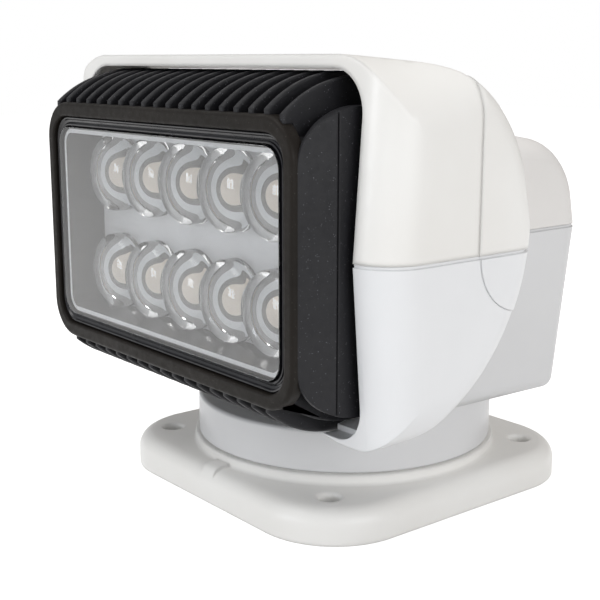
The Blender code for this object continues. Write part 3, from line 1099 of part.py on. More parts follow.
def build():
    clear_scene()
    materials = {}
    fixed = base_flange() + base_parts()
    turning = housings() + housing_seals() + turntable_parts()
    pan_pinion, tilt_pinion = pinions()
    head = hood_parts() + [lamp_housing()] + lamp_parts() + tilt_parts()
    finish(fixed + turning + [pan_pinion, tilt_pinion] + head, materials)
    pan_angle = math.radians(PAN_DRIVE_ANGLE)
    tilt_angle = math.radians(TILT_DRIVE_ANGLE)
    carry(turning, "pan_axis", (0.0, 0.0, 0.0))
    carry(head, "tilt_axis", (0.0, PIVOT_Y, PIVOT_Z))
    carry([pan_pinion], "pan_pinion_axis",
          (DRIVE_DISTANCE * math.cos(pan_angle), DRIVE_DISTANCE * math.sin(pan_angle), 0.0))
    carry([tilt_pinion], "tilt_pinion_axis",
          (0.0, PIVOT_Y + DRIVE_DISTANCE * math.cos(tilt_angle), PIVOT_Z + DRIVE_DISTANCE * math.sin(tilt_angle)))


build()
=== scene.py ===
"""Marine searchlight on a pale studio floor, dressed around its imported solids.

The white hood, housing and base and the black lamp are rebuilt here with fine curves and soft
edges. The drive parts keep their solids and take new materials. Metres, +Z up, lamp facing -Y.
"""

import math

import bmesh
import bpy
from mathutils import Matrix, Vector


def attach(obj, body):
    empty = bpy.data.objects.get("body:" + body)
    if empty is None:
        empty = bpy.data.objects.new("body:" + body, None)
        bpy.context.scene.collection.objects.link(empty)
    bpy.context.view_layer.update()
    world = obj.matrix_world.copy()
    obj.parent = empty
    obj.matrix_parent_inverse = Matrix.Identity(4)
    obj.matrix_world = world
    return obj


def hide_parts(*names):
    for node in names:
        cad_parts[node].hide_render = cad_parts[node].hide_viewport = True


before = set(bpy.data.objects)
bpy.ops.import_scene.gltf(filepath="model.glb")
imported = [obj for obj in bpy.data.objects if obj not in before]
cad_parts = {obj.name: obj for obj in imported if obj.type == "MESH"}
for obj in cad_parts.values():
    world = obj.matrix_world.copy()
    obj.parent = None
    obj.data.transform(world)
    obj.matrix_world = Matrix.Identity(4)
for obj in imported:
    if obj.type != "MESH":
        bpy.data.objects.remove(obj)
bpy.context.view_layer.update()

# Camera
LENS_MM = 68.13
SENSOR_MM = 36.0
CAMERA_PLACE = (0.3568, -0.3124, 0.1733)
CAMERA_AXES = ((0.6282, 0.7781, 0.0), (-0.1615, 0.1304, 0.9783), (0.7611, -0.6145, 0.2075))

# Clearances
GAP = 0.0003
RUN_GAP = 0.0005
SEAM_GAP = 0.0012
LAP = 0.001                  # solids that are joined or cut run into each other by this much
BEYOND = 0.01                # and cutters run past by this much

# Drum
DRUM_RADIUS = 0.0625
DRUM_HEIGHT = 0.01725
DRUM_WALL = 0.003
DRUM_EDGE = 0.0015

# Base
BASE_HEIGHT = 0.0138
BASE_CORNER = 0.033
BASE_EDGE = 0.0065
BASE_FLOOR = 0.005
COLLAR_STEP = 0.0015
COLLAR_WALL = 0.006
COLLAR_RISE = 0.00395
SCREW_HOLE = 0.0042
SCREW_MOUTH = 0.0013
HOLE_ROOM = 0.01166
HOLE_EDGE = 0.0198
INLET_RADIUS = 0.0045
INLET_PLACE = 0.034
MARK_WIDTH = 0.0085
MARK_RISE = 0.0012
MARK_CORNER = 0.002
MARK_SINK = 0.0001
MARK_START = 0.35            # turns of the base's edge where the mark starts to rise
MARK_SWELL = 0.9             # and over which it rises
BASE_FOOT = 0.0006           # rounding of the lower edge
COLLAR_LIP = 0.0005
COLLAR_FILLET = 0.0008
WELL_ROOM = 0.002
WELL_FLOOR = 0.75            # share of the floor's thickness
STEP_RISE = 0.7              # share of the running gap
STEP_INSET = 0.0010
STEP_FOOT = 0.0008
WIREWAY_HEIGHT = 0.006
INLET_ROOM = 0.0015

# Lamp
LAMP_HALF_WIDTH = 0.0819
LAMP_HALF_HEIGHT = 0.04875
LAMP_DEPTH = 0.04225
LAMP_CORNER = 0.015
LAMP_FRAME = 0.0051
LAMP_FRAME_HIGH = 0.0070
LAMP_EDGE = 0.0012
FRAME_DEPTH = 0.0045
CORE_SETBACK = 0.0004
CORE_STEP = 0.00505
CORE_CORNER = 0.012
CAVITY_FLOOR = 0.00645
LEDGE = 0.0035
LENS_THICKNESS = 0.0035
GASKET_WIDTH = 0.0022
FIN_COUNT = 17
FIN_SPREAD = 0.0155
FIN_THICKNESS = 0.0027
FIN_ARC = 0.04625
FIN_ARC_BACK = 0.0325
FIN_SETBACK = 0.003
FIN_DROP = 0.0014
FIN_DROP_LOW = 0.0060
CORNER_FIN_INSET = 0.0070
PANEL_FLARE = 0.0037
PANEL_STEP = 0.0010
PANEL_FRONT = 0.01575
PANEL_ARC = 0.0240
PANEL_ARC_RISE = 0.0190
PANEL_OVER = 0.00275
BOSS_RADIUS = 0.0022
BOSS_INSET = 0.0030
BOSS_BACK = 0.02225
BOSS_BORE = 0.45             # bore and overlap as shares of the boss's radius
BOSS_SINK = 0.4
BOSS_BORE_DEPTH = 0.0015
BOSS_EDGE = 0.0003
BEZEL_ROUND = 0.0015         # soft outer edge of the lamp's front frame
MOUTH_ROUND = 0.0009         # and of the edge around the window
FRAME_LAP = 0.0012
FRAME_FLARE = 0.001
CORE_LAP = 0.0005
FIN_SET = 0.0005
FIN_ROOT = 0.003
FIN_ROLL = 0.3               # rounding as a share of the fin's thickness
PANEL_SOFT = 0.0007
SEAL_SIDE = 0.0003           # the seal shows wider than its seat by this much at the sides
SEAL_HIGH = 0.0014           # and by this much above and below
WINDOW_SET = 0.001           # the window's face stands this far behind the frame's
# Inset and depth of the window's edge, from its face to its back
PANE_EDGE = ((0.0003, 0.0), (0.00022, 0.00002), (0.00003, 0.0002), (0.0, 0.00028),
             (0.0, LENS_THICKNESS - 0.0003), (0.0003, LENS_THICKNESS))
# Share of the way across the seal, and depth there
SEAL_BEAD = ((0.0, LENS_THICKNESS), (0.0, 0.0014), (0.06, 0.0009), (0.15, 0.0008), (0.24, 0.0010),
             (0.30, 0.0016), (0.40, 0.0018), (0.62, 0.0015), (0.74, 0.0009), (0.86, 0.0008),
             (0.96, 0.0011), (1.0, 0.0016), (1.0, LENS_THICKNESS))

# Optics
OPTIC_COLUMNS = 5
OPTIC_SIDE = 0.00775
OPTIC_BETWEEN = 0.0005
OPTIC_ROW_GAP = 0.0420
OPTIC_SHIFT = 0.0008         # each row sits this much nearer the middle
OPTIC_SEAT = 0.0215
OPTIC_WIDE = 0.0154          # radius above and below the flat sides
OPTIC_FOOT = 0.0104
FOOT_DEPTH = 0.6             # as a share of the tray's wall
FOOT_EDGE = 0.0003
RIM_EDGE = 0.0004
RIM_HEIGHT = 0.0048
DOME_HEIGHT = 0.0070
SEAT_RADII = (0.0045, 0.0062, 0.0084)  # where the rings on the back of an optic change colour
TRAY_WALL = 0.0016
# Depth before the tray's floor, and how much thicker its wall is there
TRAY_FILLET = ((0.0012, 0.0006), (0.0004, 0.0010), (0.0, 0.0020))
MIRROR_END = 0.0005          # the dark wall ends this far before the tray's floor
CUP_WALL = 0.0009
CUP_TAPER = (0.0014, 0.0020)  # outside and inside
BOARD_THICKNESS = 0.0016
BOARD_MARGIN = 0.006
BOARD_CORNER = 0.0015
LED_RADIUS = 0.0026
LED_HEIGHT = 0.0012
LED_SINK = 0.0003
LED_SIDE = 0.6               # where the chip's dome starts, as a share of its height
LED_SHOULDER = (0.7, 0.95)   # and a point of the dome, as shares of radius and height

# Hood
WALL = 0.0025
HOOD_ROOM = 0.0163
HOOD_OVER = 0.0054
HOOD_UNDER = 0.0009
HOOD_COVER = 0.0229
HOOD_LEAN = 0.005
HOOD_REAR_RISE = 0.0085
HOOD_HEEL = 0.0047
HOOD_HEEL_RISE = 0.0112
HOOD_SHOULDER = 0.0124
HOOD_SHOULDER_FALL = 0.0063
HOOD_TOP_BEND = 0.383
HOOD_MID_BEND = 0.190
HOOD_LOW_BEND = 0.566
HOOD_RIM_ROUND = 0.0156
HOOD_CORNER = 0.0190
HOOD_BACK_ROUND = 0.009
OPENING_RIM = 0.0044
OPENING_CORNER = 0.0156
LIP_LENGTH = 0.0356
STRIP_BACK = 0.0065
BAND_AHEAD = 0.0213
PROUD = 0.0004
COVER_RADIUS = 0.0206
COVER_REACH = 0.0200
POD_WIDTH = 0.02565
SLOT_ROOM = 0.00315
LOWER_RIM = 0.0016           # height of the thin lip below the opening
LOWER_CORNER = 0.0130
CORNER_MORE = 0.0110         # the upper front corners are rounder by this much
CORNER_RUN = 0.0520          # which fades over this length
OPENING_DEPTH = 0.004
LIP_DEEP = 0.0006            # the lips behind the seams stand this far below the surface
# Cut that thins the end of the lower lip, seen from the front
LIP_TAPER = ((-0.001, -0.001), (0.012, -0.001), (0.0035, 0.0008), (-0.001, 0.0016))
TAPER_DEPTH = 0.03
TONGUE_DEEP = 0.004

# Tilt axis and housing
SHAFT_RADIUS = 0.0035
BUSH_WALL = 0.0020
ARM_EYE = 0.0052
EYE_ROOM = 0.0016
LAMP_ROOM = 0.010406
LAMP_DROP = 0.001
PIVOT_AHEAD = 0.0106
NOSE_RADIUS = 0.036
NOSE_ROOM = 0.0049
BOX_FRONT_AHEAD = 0.0174
BOX_LIFT = 0.0053
BOX_REAR = 0.0605
BOX_REAR_SLOPE = 0.0060
BOX_TOP_ROUND = 0.027
BOX_TOP_FALL = 0.0045
BOX_TOP_FLAT = 0.040
BOX_LOW_CORNER = 0.005
BOX_SIDE_ROUND = 0.009
BOX_DRAFT = 0.08
SPINDLE_RADIUS = 0.008
SPINDLE_FLANGE = 0.013
SCREW_RADIUS = 0.002
SCREW_HEAD = 0.0038
SCREW_HEAD_HEIGHT = 0.0028
PILLAR_RADIUS = 0.0046
PILLAR_SIDE = 0.0171
PILLAR_REAR = 0.0205
PILLAR_FRONT = 0.0090
PILLAR_FRONT_SIDE = 0.0306
BUSH_DEEP = 0.012
BOX_TOP_BACK = 0.0035
BOX_LOW_ROLL = 0.9           # share of the lower corner's radius
BOSS_WALL = 0.0015
BOSS_RISE = 0.0014
GEAR_LAND_WIDTH = 0.0055
HUB_RISE = 0.0066
HUB_OVER = 0.003

# Worked out from the sizes above
COLLAR_RADIUS = DRUM_RADIUS + COLLAR_STEP
COLLAR_HEIGHT = BASE_HEIGHT + COLLAR_RISE
SCREW_SPACING = math.sqrt(2.0) * (COLLAR_RADIUS + HOLE_ROOM)
BASE_SIDE = SCREW_SPACING + 2 * HOLE_EDGE
DRUM_TOP = COLLAR_HEIGHT + DRUM_HEIGHT
DRUM_BOTTOM = COLLAR_HEIGHT + RUN_GAP
DRUM_FLOOR = DRUM_TOP - DRUM_WALL
FIN_REACH = LAMP_HALF_HEIGHT - math.sqrt(FIN_ARC ** 2 - FIN_ARC_BACK ** 2) + FIN_ARC
LAMP_CENTRE_Z = DRUM_TOP + LAMP_ROOM + FIN_REACH
PIVOT_Y = -PIVOT_AHEAD
PIVOT_Z = LAMP_CENTRE_Z + LAMP_DROP
SEAM = PIVOT_Z
LAMP_REAR = PIVOT_Y - NOSE_RADIUS - NOSE_ROOM
LAMP_FRONT = LAMP_REAR - LAMP_DEPTH
CORE_HALF_WIDTH = LAMP_HALF_WIDTH - CORE_SETBACK
CORE_HALF_HEIGHT = LAMP_HALF_HEIGHT - CORE_STEP
FIN_PITCH = 2 * (LAMP_HALF_WIDTH - FIN_SPREAD) / (FIN_COUNT - 1)
FIN_ARC_Y = LAMP_FRONT + FIN_ARC_BACK
CORNER_FIN_X = CORE_HALF_WIDTH - CORNER_FIN_INSET
PANEL_HALF = LAMP_HALF_WIDTH + PANEL_FLARE
PANEL_INNER = CORE_HALF_WIDTH - CORE_SETBACK
PANEL_LINE = LAMP_FRONT + PANEL_FRONT
PANEL_HALF_HEIGHT = LAMP_HALF_HEIGHT + PANEL_OVER
LENS_HALF_WIDTH = LAMP_HALF_WIDTH - LAMP_FRAME - GASKET_WIDTH - 2 * GAP
LENS_HALF_HEIGHT = LAMP_HALF_HEIGHT - LAMP_FRAME_HIGH - GASKET_WIDTH - 2 * GAP
OPTIC_PITCH = 2 * (LENS_HALF_WIDTH - OPTIC_SIDE) / OPTIC_COLUMNS
OPTIC_RADIUS = (OPTIC_PITCH - OPTIC_BETWEEN) / 2
HOOD_HALF = PANEL_HALF + HOOD_ROOM + WALL
HOOD_TOP = LAMP_CENTRE_Z + FIN_REACH + HOOD_OVER
HOOD_BOTTOM = LAMP_CENTRE_Z - FIN_REACH - HOOD_UNDER
HOOD_FRONT = LAMP_REAR - HOOD_COVER
HOOD_REAR = PIVOT_Y + ARM_EYE + WALL + EYE_ROOM
OPENING_HALF = HOOD_HALF - HOOD_RIM_ROUND
STRIP_REAR = LAMP_REAR + STRIP_BACK
BAND_LINE = PIVOT_Y - BAND_AHEAD
SLOT_HALF = HOOD_HALF - POD_WIDTH
POD_INNER = SLOT_HALF + WALL
BOX_HALF = SLOT_HALF - SLOT_ROOM
BOX_TOP = PIVOT_Z + NOSE_RADIUS
BOX_BOTTOM = DRUM_TOP + BOX_LIFT
BOX_FRONT = PIVOT_Y - BOX_FRONT_AHEAD
BOX_REAR_FOOT = BOX_REAR - BOX_REAR_SLOPE
BUSH_RADIUS = SHAFT_RADIUS + GAP + BUSH_WALL
PILLAR_ROWS = ((BOX_HALF - PILLAR_FRONT_SIDE, BOX_FRONT + PILLAR_FRONT),
               (BOX_HALF - PILLAR_SIDE, BOX_REAR - PILLAR_REAR))
FRAME_MOUTH = (LAMP_HALF_WIDTH - LAMP_FRAME + SEAL_SIDE, LAMP_HALF_HEIGHT - LAMP_FRAME_HIGH + SEAL_HIGH,
               LAMP_CORNER - LAMP_FRAME)
WINDOW = (LENS_HALF_WIDTH, LENS_HALF_HEIGHT, LAMP_CORNER - LAMP_FRAME - GASKET_WIDTH)
WINDOW_FRONT = LAMP_FRONT + WINDOW_SET
CAVITY_HALF_WIDTH = LAMP_HALF_WIDTH - LAMP_FRAME - LEDGE
CAVITY_HALF_HEIGHT = LAMP_HALF_HEIGHT - LAMP_FRAME_HIGH - LEDGE
CAVITY_CORNER = LAMP_CORNER - LAMP_FRAME - LEDGE
TRAY_FLOOR = LAMP_FRONT + OPTIC_SEAT
BOARD_BACK = LAMP_REAR - CAVITY_FLOOR - GAP
BOARD_FACE = BOARD_BACK - BOARD_THICKNESS
SEAM_LOW = SEAM - SEAM_GAP / 2
SEAM_HIGH = SEAM + SEAM_GAP / 2
ORIGIN = (0.0, 0.0, 0.0)
PIVOT = (0.0, PIVOT_Y, PIVOT_Z)
BOSS_OUTER = SPINDLE_FLANGE + BOSS_WALL
GEAR_LAND = BOSS_OUTER + GEAR_LAND_WIDTH
GEAR_Z = DRUM_BOTTOM + GAP
BOSS_TOP = GEAR_Z + BOSS_RISE
HUB_Z = GEAR_Z + HUB_RISE
HUB_TOP = DRUM_TOP + HUB_OVER

ROUND = 128                  # faces around the drum and base
MEDIUM = 96                  # around the optics and pivot covers
SMALL = 48                   # around screw holes and cups
FINE = 32
BEND = 14                    # faces in a quarter of a corner seen from the side
ROLL = 8                     # faces in a quarter of a rolled edge
LEAST_ROLL = 0.0003
FAR = 0.3
WELD = 0.000002
NUDGE = WELD * 5             # cutters stand this far outside the faces they start from
SMOOTH = math.radians(28.0)  # edges sharper than this stay crisp
EDGE_SOFT = 0.0008           # radius of the softly shaded edges
HOOD_SOFT = 0.0024


# Materials

def colour(r, g, b):
    return (r, g, b, 1.0)


def put(owner, node, **inputs):
    """Set or link a node's sockets, whose names have underscores for spaces here."""
    for name, value in inputs.items():
        socket = node.inputs[name.replace("_", " ")]
        if isinstance(value, bpy.types.NodeSocket):
            owner.node_tree.links.new(value, socket)
        else:
            socket.default_value = value


def grow(owner, kind, **inputs):
    """A new node in a material or the world, with the given sockets set or linked."""
    node = owner.node_tree.nodes.new(kind)
    put(owner, node, **inputs)
    return node


def new_material(name):
    material = bpy.data.materials.new(name)
    material.use_nodes = True
    return material, material.node_tree.nodes["Principled BSDF"]


def place_of(material):
    """Position on the piece in metres, the same for every piece."""
    return grow(material, "ShaderNodeTexCoord").outputs["Object"]


def noise(material, scale, detail=2.0, roughness=0.5):
    node = grow(material, "ShaderNodeTexNoise", Scale=scale, Detail=detail, Roughness=roughness,
                Vector=place_of(material))
    return node.outputs["Fac"]


def ramp(owner, value, low, high, start=0.3, end=0.7):
    """Colours or grey values from low at start to high at end of a 0 to 1 input."""
    node = grow(owner, "ShaderNodeValToRGB", Fac=value)
    for element, where, tone in zip(node.color_ramp.elements, (start, end), (low, high)):
        element.position = where
        element.color = colour(*tone) if isinstance(tone, tuple) else colour(tone, tone, tone)
    return node.outputs["Color"]


def bumped(material, shader, height, distance, strength, radius=0.0):
    """Fine relief, and edges shaded as round where a radius is given."""
    node = grow(material, "ShaderNodeBump", Height=height, Distance=distance, Strength=strength)
    if radius:
        edge = grow(material, "ShaderNodeBevel", Radius=radius)
        edge.samples = 4
        put(material, node, Normal=edge.outputs["Normal"])
    put(material, shader, Normal=node.outputs["Normal"])
    return material


def plastic(name, low, high, radius=0.0):
    """Moulded satin plastic with a faint mottle and a fine spark-eroded grain."""
    material, shader = new_material(name)
    put(material, shader, IOR=1.49, Coat_Weight=0.12, Coat_Roughness=0.18,
        Base_Color=ramp(material, noise(material, 22.0, 3.0), low, high),
        Roughness=ramp(material, noise(material, 260.0), 0.34, 0.44))
    return bumped(material, shader, noise(material, 2600.0, 1.0), 0.00003, 0.5, radius)


def powder_coat(name, low, high, painted_glint, radius=0.0, shine=0.28):
    """Black textured coating with tiny bright grains, painted into its colour as glints."""
    material, shader = new_material(name)
    cells = grow(material, "ShaderNodeTexVoronoi", Scale=1500.0, Vector=place_of(material))
    spot = ramp(material, cells.outputs["Distance"], 1.0, 0.0, 0.10, 0.24)
    chosen = ramp(material, noise(material, 700.0, 1.0), 0.0, 1.0, 0.56, 0.66)
    both = grow(material, "ShaderNodeMixRGB", Fac=1.0, Color1=spot, Color2=chosen)
    both.blend_type = "MULTIPLY"
    body = ramp(material, noise(material, 30.0, 3.0), low, high)
    mix = grow(material, "ShaderNodeMixRGB", Fac=both.outputs["Color"], Color1=body,
               Color2=colour(*painted_glint))
    put(material, shader, IOR=1.45, Specular_IOR_Level=shine, Base_Color=mix.outputs["Color"],
        Roughness=ramp(material, noise(material, 420.0), 0.42, 0.58))
    return bumped(material, shader, noise(material, 1300.0, 3.0, 0.65), 0.00010, 0.5, radius)


def glossy_rubber(name):
    material, shader = new_material(name)
    put(material, shader,
        Base_Color=ramp(material, noise(material, 60.0), (0.006, 0.006, 0.008), (0.012, 0.012, 0.015)),
        Roughness=ramp(material, noise(material, 180.0), 0.16, 0.28))
    return bumped(material, shader, noise(material, 300.0), 0.0001, 0.3)


def clear(name, tint, rough, pale=(0.97, 0.975, 0.98)):
    """Clear moulded plastic with faint haze and waviness."""
    material, shader = new_material(name)
    put(material, shader, IOR=1.49, Transmission_Weight=1.0,
        Base_Color=ramp(material, noise(material, 12.0), tint, pale, 0.2, 0.8),
        Roughness=ramp(material, noise(material, 90.0), 0.0, rough, 0.35, 0.85))
    return bumped(material, shader, noise(material, 55.0, 1.0), 0.00002, 0.2)


def painted_metal(name, low, high, rough, metallic, grain=(1.0, 1.0, 1.0)):
    """Plate or machined metal; grain stretches its fine lines along an axis."""
    material, shader = new_material(name)
    lay = grow(material, "ShaderNodeMapping", Vector=place_of(material), Scale=grain)
    lines = grow(material, "ShaderNodeTexNoise", Scale=700.0, Detail=2.0, Vector=lay.outputs["Vector"])
    put(material, shader, Metallic=metallic,
        Base_Color=ramp(material, lines.outputs["Fac"], low, high),
        Roughness=ramp(material, lines.outputs["Fac"], rough * 0.8, rough * 1.2))
    return bumped(material, shader, lines.outputs["Fac"], 0.00003, 0.4)


def circuit_board(name):
    """Green board with fine paler tracks."""
    material, shader = new_material(name)
    tracks = grow(material, "ShaderNodeTexBrick", Scale=240.0, Vector=place_of(material), Mortar_Size=0.03,
                  Color1=colour(0.03, 0.16, 0.07), Color2=colour(0.04, 0.20, 0.09),
                  Mortar=colour(0.08, 0.30, 0.14))
    put(material, shader, Base_Color=tracks.outputs["Color"],
        Roughness=ramp(material, noise(material, 200.0), 0.28, 0.42))
    return bumped(material, shader, tracks.outputs["Fac"], 0.00003, 0.4)


WHITE = plastic("satin_white_plastic", (0.80, 0.785, 0.755), (0.84, 0.83, 0.805), HOOD_SOFT)
# A cooler, slightly darker copy of the white for the lower hood pieces and the pivot caps: painted shade on
# the parts that face down.
WHITE_SHADED = plastic("cool_white_plastic_painted_shade", (0.77, 0.775, 0.785), (0.81, 0.815, 0.825), EDGE_SOFT)
# The housing is a greyer white than the hood. Its body is also darker than its cover, and that step is
# painted shade on the sides and drum under the hood.
HOUSING_LOW_SHADED = plastic("housing_grey_white_part_painted_shade", (0.64, 0.64, 0.645), (0.68, 0.68, 0.685), EDGE_SOFT)
HOUSING_TOP = plastic("cover_grey_white", (0.73, 0.71, 0.69), (0.77, 0.75, 0.73), EDGE_SOFT)
# The last colour given to each coat is its painted glints.
COATING = powder_coat("black_powder_coat", (0.008, 0.008, 0.010), (0.014, 0.014, 0.016),
                      (0.16, 0.16, 0.18), EDGE_SOFT)
# The frame's coat is tinted warm brown: a painted reflection of a brown room.
BEZEL_PAINTED_REFLECTION = powder_coat("bezel_powder_coat_painted_reflection", (0.0085, 0.007, 0.0055), (0.013, 0.0105, 0.0085),
                    (0.07, 0.065, 0.055), EDGE_SOFT, 0.15)
GASKET = glossy_rubber("glossy_seal")
LENS = clear("clear_window", (0.955, 0.965, 0.97), 0.012)
OPTIC = clear("clear_optic", (0.90, 0.90, 0.90), 0.02, (0.95, 0.95, 0.95))
TRAY = painted_metal("grey_tray", (0.52, 0.53, 0.55), (0.57, 0.58, 0.60), 0.42, 0.10, (0.2, 0.2, 1.0))
MIRROR = painted_metal("metallised_wall", (0.020, 0.018, 0.016), (0.06, 0.055, 0.05), 0.20, 0.9,
                       (1.0, 1.0, 0.02))
HOLDER = plastic("cream_holder", (0.90, 0.78, 0.64), (0.94, 0.83, 0.70))
STEEL = painted_metal("brushed_steel", (0.46, 0.47, 0.49), (0.60, 0.61, 0.63), 0.32, 1.0,
                      (1.0, 1.0, 0.08))
BRONZE = painted_metal("bronze_bush", (0.50, 0.33, 0.18), (0.64, 0.45, 0.27), 0.38, 1.0)
NYLON = plastic("natural_nylon", (0.70, 0.68, 0.61), (0.78, 0.76, 0.70))
RUBBER = powder_coat("matt_rubber", (0.014, 0.014, 0.015), (0.024, 0.024, 0.026), (0.04, 0.04, 0.04))
SEALER = plastic("pale_silicone", (0.62, 0.61, 0.60), (0.68, 0.67, 0.66))
SEAT_DISC = plastic("cream_seat", (0.93, 0.84, 0.73), (0.97, 0.88, 0.78))
# Rings on the optics' backs: a dark one of painted shade and a pale one of painted reflection.
SEAT_RING_PAINTED_SHADE = plastic("dark_seat_ring_painted_shade", (0.13, 0.125, 0.12), (0.20, 0.19, 0.185))
SEAT_RIM_PAINTED_REFLECTION = plastic("pale_seat_rim_painted_reflection", (0.80, 0.83, 0.86), (0.86, 0.89, 0.92))
SEAT_EDGE = plastic("grey_seat_edge", (0.30, 0.30, 0.31), (0.38, 0.38, 0.39))
PHOSPHOR = plastic("led_phosphor", (0.78, 0.62, 0.36), (0.86, 0.72, 0.46))
BOARD = circuit_board("green_circuit_board")


# Mesh helpers

def added(name, data):
    """A new object in the scene."""
    item = bpy.data.objects.new(name, data)
    bpy.context.scene.collection.objects.link(item)
    return item


def new_object(name, points, faces):
    """One mesh object whose faces all point outwards."""
    mesh = bpy.data.meshes.new(name)
    mesh.from_pydata([tuple(point) for point in points], [], faces)
    edit = bmesh.new()
    edit.from_mesh(mesh)
    bmesh.ops.recalc_face_normals(edit, faces=edit.faces)
    edit.to_mesh(mesh)
    edit.free()
    return added(name, mesh)


def stack(name, rings, closed=False):
    """A solid through equal rings of points: capped at both ends, or closed on itself."""
    count = len(rings[0])
    points = [point for ring in rings for point in ring]
    faces = []
    spans = len(rings) if closed else len(rings) - 1
    for level in range(spans):
        low = level * count
        high = (level + 1) % len(rings) * count
        for i in range(count):
            j = (i + 1) % count
            faces.append((low + i, low + j, high + j, high + i))
    if not closed:
        last = (len(rings) - 1) * count
        faces.append(tuple(range(count)))
        faces.append(tuple(range(last + count - 1, last - 1, -1)))
    return new_object(name, points, faces)


def place(axis, u, v, w):
    """Point of a flat outline (u, v) at depth w along an axis."""
    if axis == "X":
        return (w, u, v)
    if axis == "Y":
        return (u, w, v)
    return (u, v, w)


def prism(name, outline, axis, start, end):
    return stack(name, [[place(axis, u, v, w) for u, v in outline] for w in (start, end)])


def box(name, one, other):
    (x0, x1), (y0, y1), (z0, z1) = (sorted(pair) for pair in zip(one, other))
    return prism(name, [(x0, y0), (x1, y0), (x1, y1), (x0, y1)], "Z", z0, z1)


def slab(name, low, high):
    """Everything between two heights."""
    return box(name, (-FAR, -FAR, low), (FAR, FAR, high))


def turned(name, profile, axis="Z", centre=ORIGIN, segments=ROUND):
    """A closed profile of (radius, height) points turned about an axis through centre."""
    points = []
    rows = []
    for radius, height in profile:
        row = []
        for i in range(segments if radius > 1e-7 else 1):
            angle = 2 * math.pi * i / segments
            row.append(len(points))
            flat = place(axis, radius * math.cos(angle), radius * math.sin(angle), height)
            points.append(Vector(centre) + Vector(flat))
        rows.append(row)
    faces = []
    for row, after in zip(rows, rows[1:] + rows[:1]):
        for i in range(segments):
            j = (i + 1) % segments
            if len(row) > 1 and len(after) > 1:
                faces.append((row[i], row[j], after[j], after[i]))
            elif len(row) > 1:
                faces.append((row[i], row[j], after[0]))
            elif len(after) > 1:
                faces.append((row[0], after[j], after[i]))
    return new_object(name, points, faces)


def rod(name, radius, axis, centre, start, end, segments=FINE):
    return turned(name, [(0.0, start), (radius, start), (radius, end), (0.0, end)], axis, centre, segments)


def work_in(item):
    """Work an item's modifiers into its mesh."""
    graph = bpy.context.evaluated_depsgraph_get()
    mesh = bpy.data.meshes.new_from_object(item.evaluated_get(graph))
    item.modifiers.clear()
    item.data = mesh
    return item


def boolean(target, tool, operation):
    """Cut, join or intersect target with tool, and remove tool."""
    modifier = target.modifiers.new("shape", "BOOLEAN")
    modifier.operation = operation
    modifier.object = tool
    work_in(target)
    edit = bmesh.new()
    edit.from_mesh(target.data)
    bmesh.ops.remove_doubles(edit, verts=edit.verts, dist=WELD)
    bmesh.ops.dissolve_degenerate(edit, edges=edit.edges, dist=WELD)
    edit.to_mesh(target.data)
    edit.free()
    bpy.data.objects.remove(tool, do_unlink=True)
    return target


def cut(target, *tools):
    for tool in tools:
        boolean(target, tool, "DIFFERENCE")
    return target


def join(target, *tools):
    for tool in tools:
        boolean(target, tool, "UNION")
    return target


def keep(target, tool):
    return boolean(target, tool, "INTERSECT")


def copy_of(item, name):
    return added(name, item.data.copy())


def mirrored(item, name):
    """The same piece on the other side of X = 0."""
    twin = copy_of(item, name)
    twin.data.transform(Matrix.Scale(-1.0, 4, (1.0, 0.0, 0.0)))
    twin.data.flip_normals()
    return twin


def gather(name, items):
    """Several separate solids as one object."""
    edit = bmesh.new()
    for item in items:
        edit.from_mesh(item.data)
        bpy.data.objects.remove(item, do_unlink=True)
    mesh = bpy.data.meshes.new(name)
    edit.to_mesh(mesh)
    edit.free()
    return added(name, mesh)


def rounded_outline(corners, steps=BEND):
    """Outline with round corners, from (u, v, radius, roll) corners in counter-clockwise order.

    Each point comes back as (u, v, out_u, out_v, roll). Moving a point along (out_u, out_v) by a
    distance moves the outline's edges out by that distance.
    """
    result = []
    count = len(corners)
    for i, (u, v, radius, roll) in enumerate(corners):
        here = Vector((u, v))
        before = (here - Vector(corners[i - 1][:2])).normalized()
        after = (Vector(corners[(i + 1) % count][:2]) - here).normalized()
        normal_in = Vector((before.y, -before.x))
        normal_out = Vector((after.y, -after.x))
        miter = (normal_in + normal_out) / (1.0 + normal_in.dot(normal_out))
        if radius == 0.0:
            result.append((u, v, miter.x, miter.y, roll))
            continue
        centre = here - miter * radius
        turn = normal_in.angle(normal_out)
        base = math.atan2(normal_in.y, normal_in.x)
        for k in range(steps + 1):
            angle = base + turn * k / steps
            out = Vector((math.cos(angle), math.sin(angle)))
            result.append((*(centre + out * radius), out.x, out.y, roll))
    return result


def moved(outline, inset):
    return [(u - a * inset, v - b * inset) for u, v, a, b, _ in outline]


def rectangle(half_u, half_v, radius, centre=(0.0, 0.0), steps=BEND):
    u, v = centre
    corners = [
        (u - half_u, v - half_v, radius, 0.0),
        (u + half_u, v - half_v, radius, 0.0),
        (u + half_u, v + half_v, radius, 0.0),
        (u - half_u, v + half_v, radius, 0.0),
    ]
    return rounded_outline(corners, steps)


def arc(centre, radius, start, end, steps):
    """Points of a round arc seen from the side."""
    turns = [start + (end - start) * k / steps for k in range(steps + 1)]
    return [(centre[0] + radius * math.cos(turn), centre[1] + radius * math.sin(turn)) for turn in turns]


def quarter(steps):
    """Turns from 0 to a quarter circle."""
    return [math.pi / 2 * k / steps for k in range(steps + 1)]


def rounding(radius, steps):
    """Pairs around a quarter circle: the first grows from 0 to radius as the second falls to 0."""
    return [(radius * (1.0 - math.cos(turn)), radius * (1.0 - math.sin(turn))) for turn in quarter(steps)]


def rings_of(outline, levels, axis="Y"):
    """The outline moved in by each level's inset, at the level's place along the axis."""
    return [[place(axis, u, v, w) for u, v in moved(outline, inset)] for inset, w in levels]


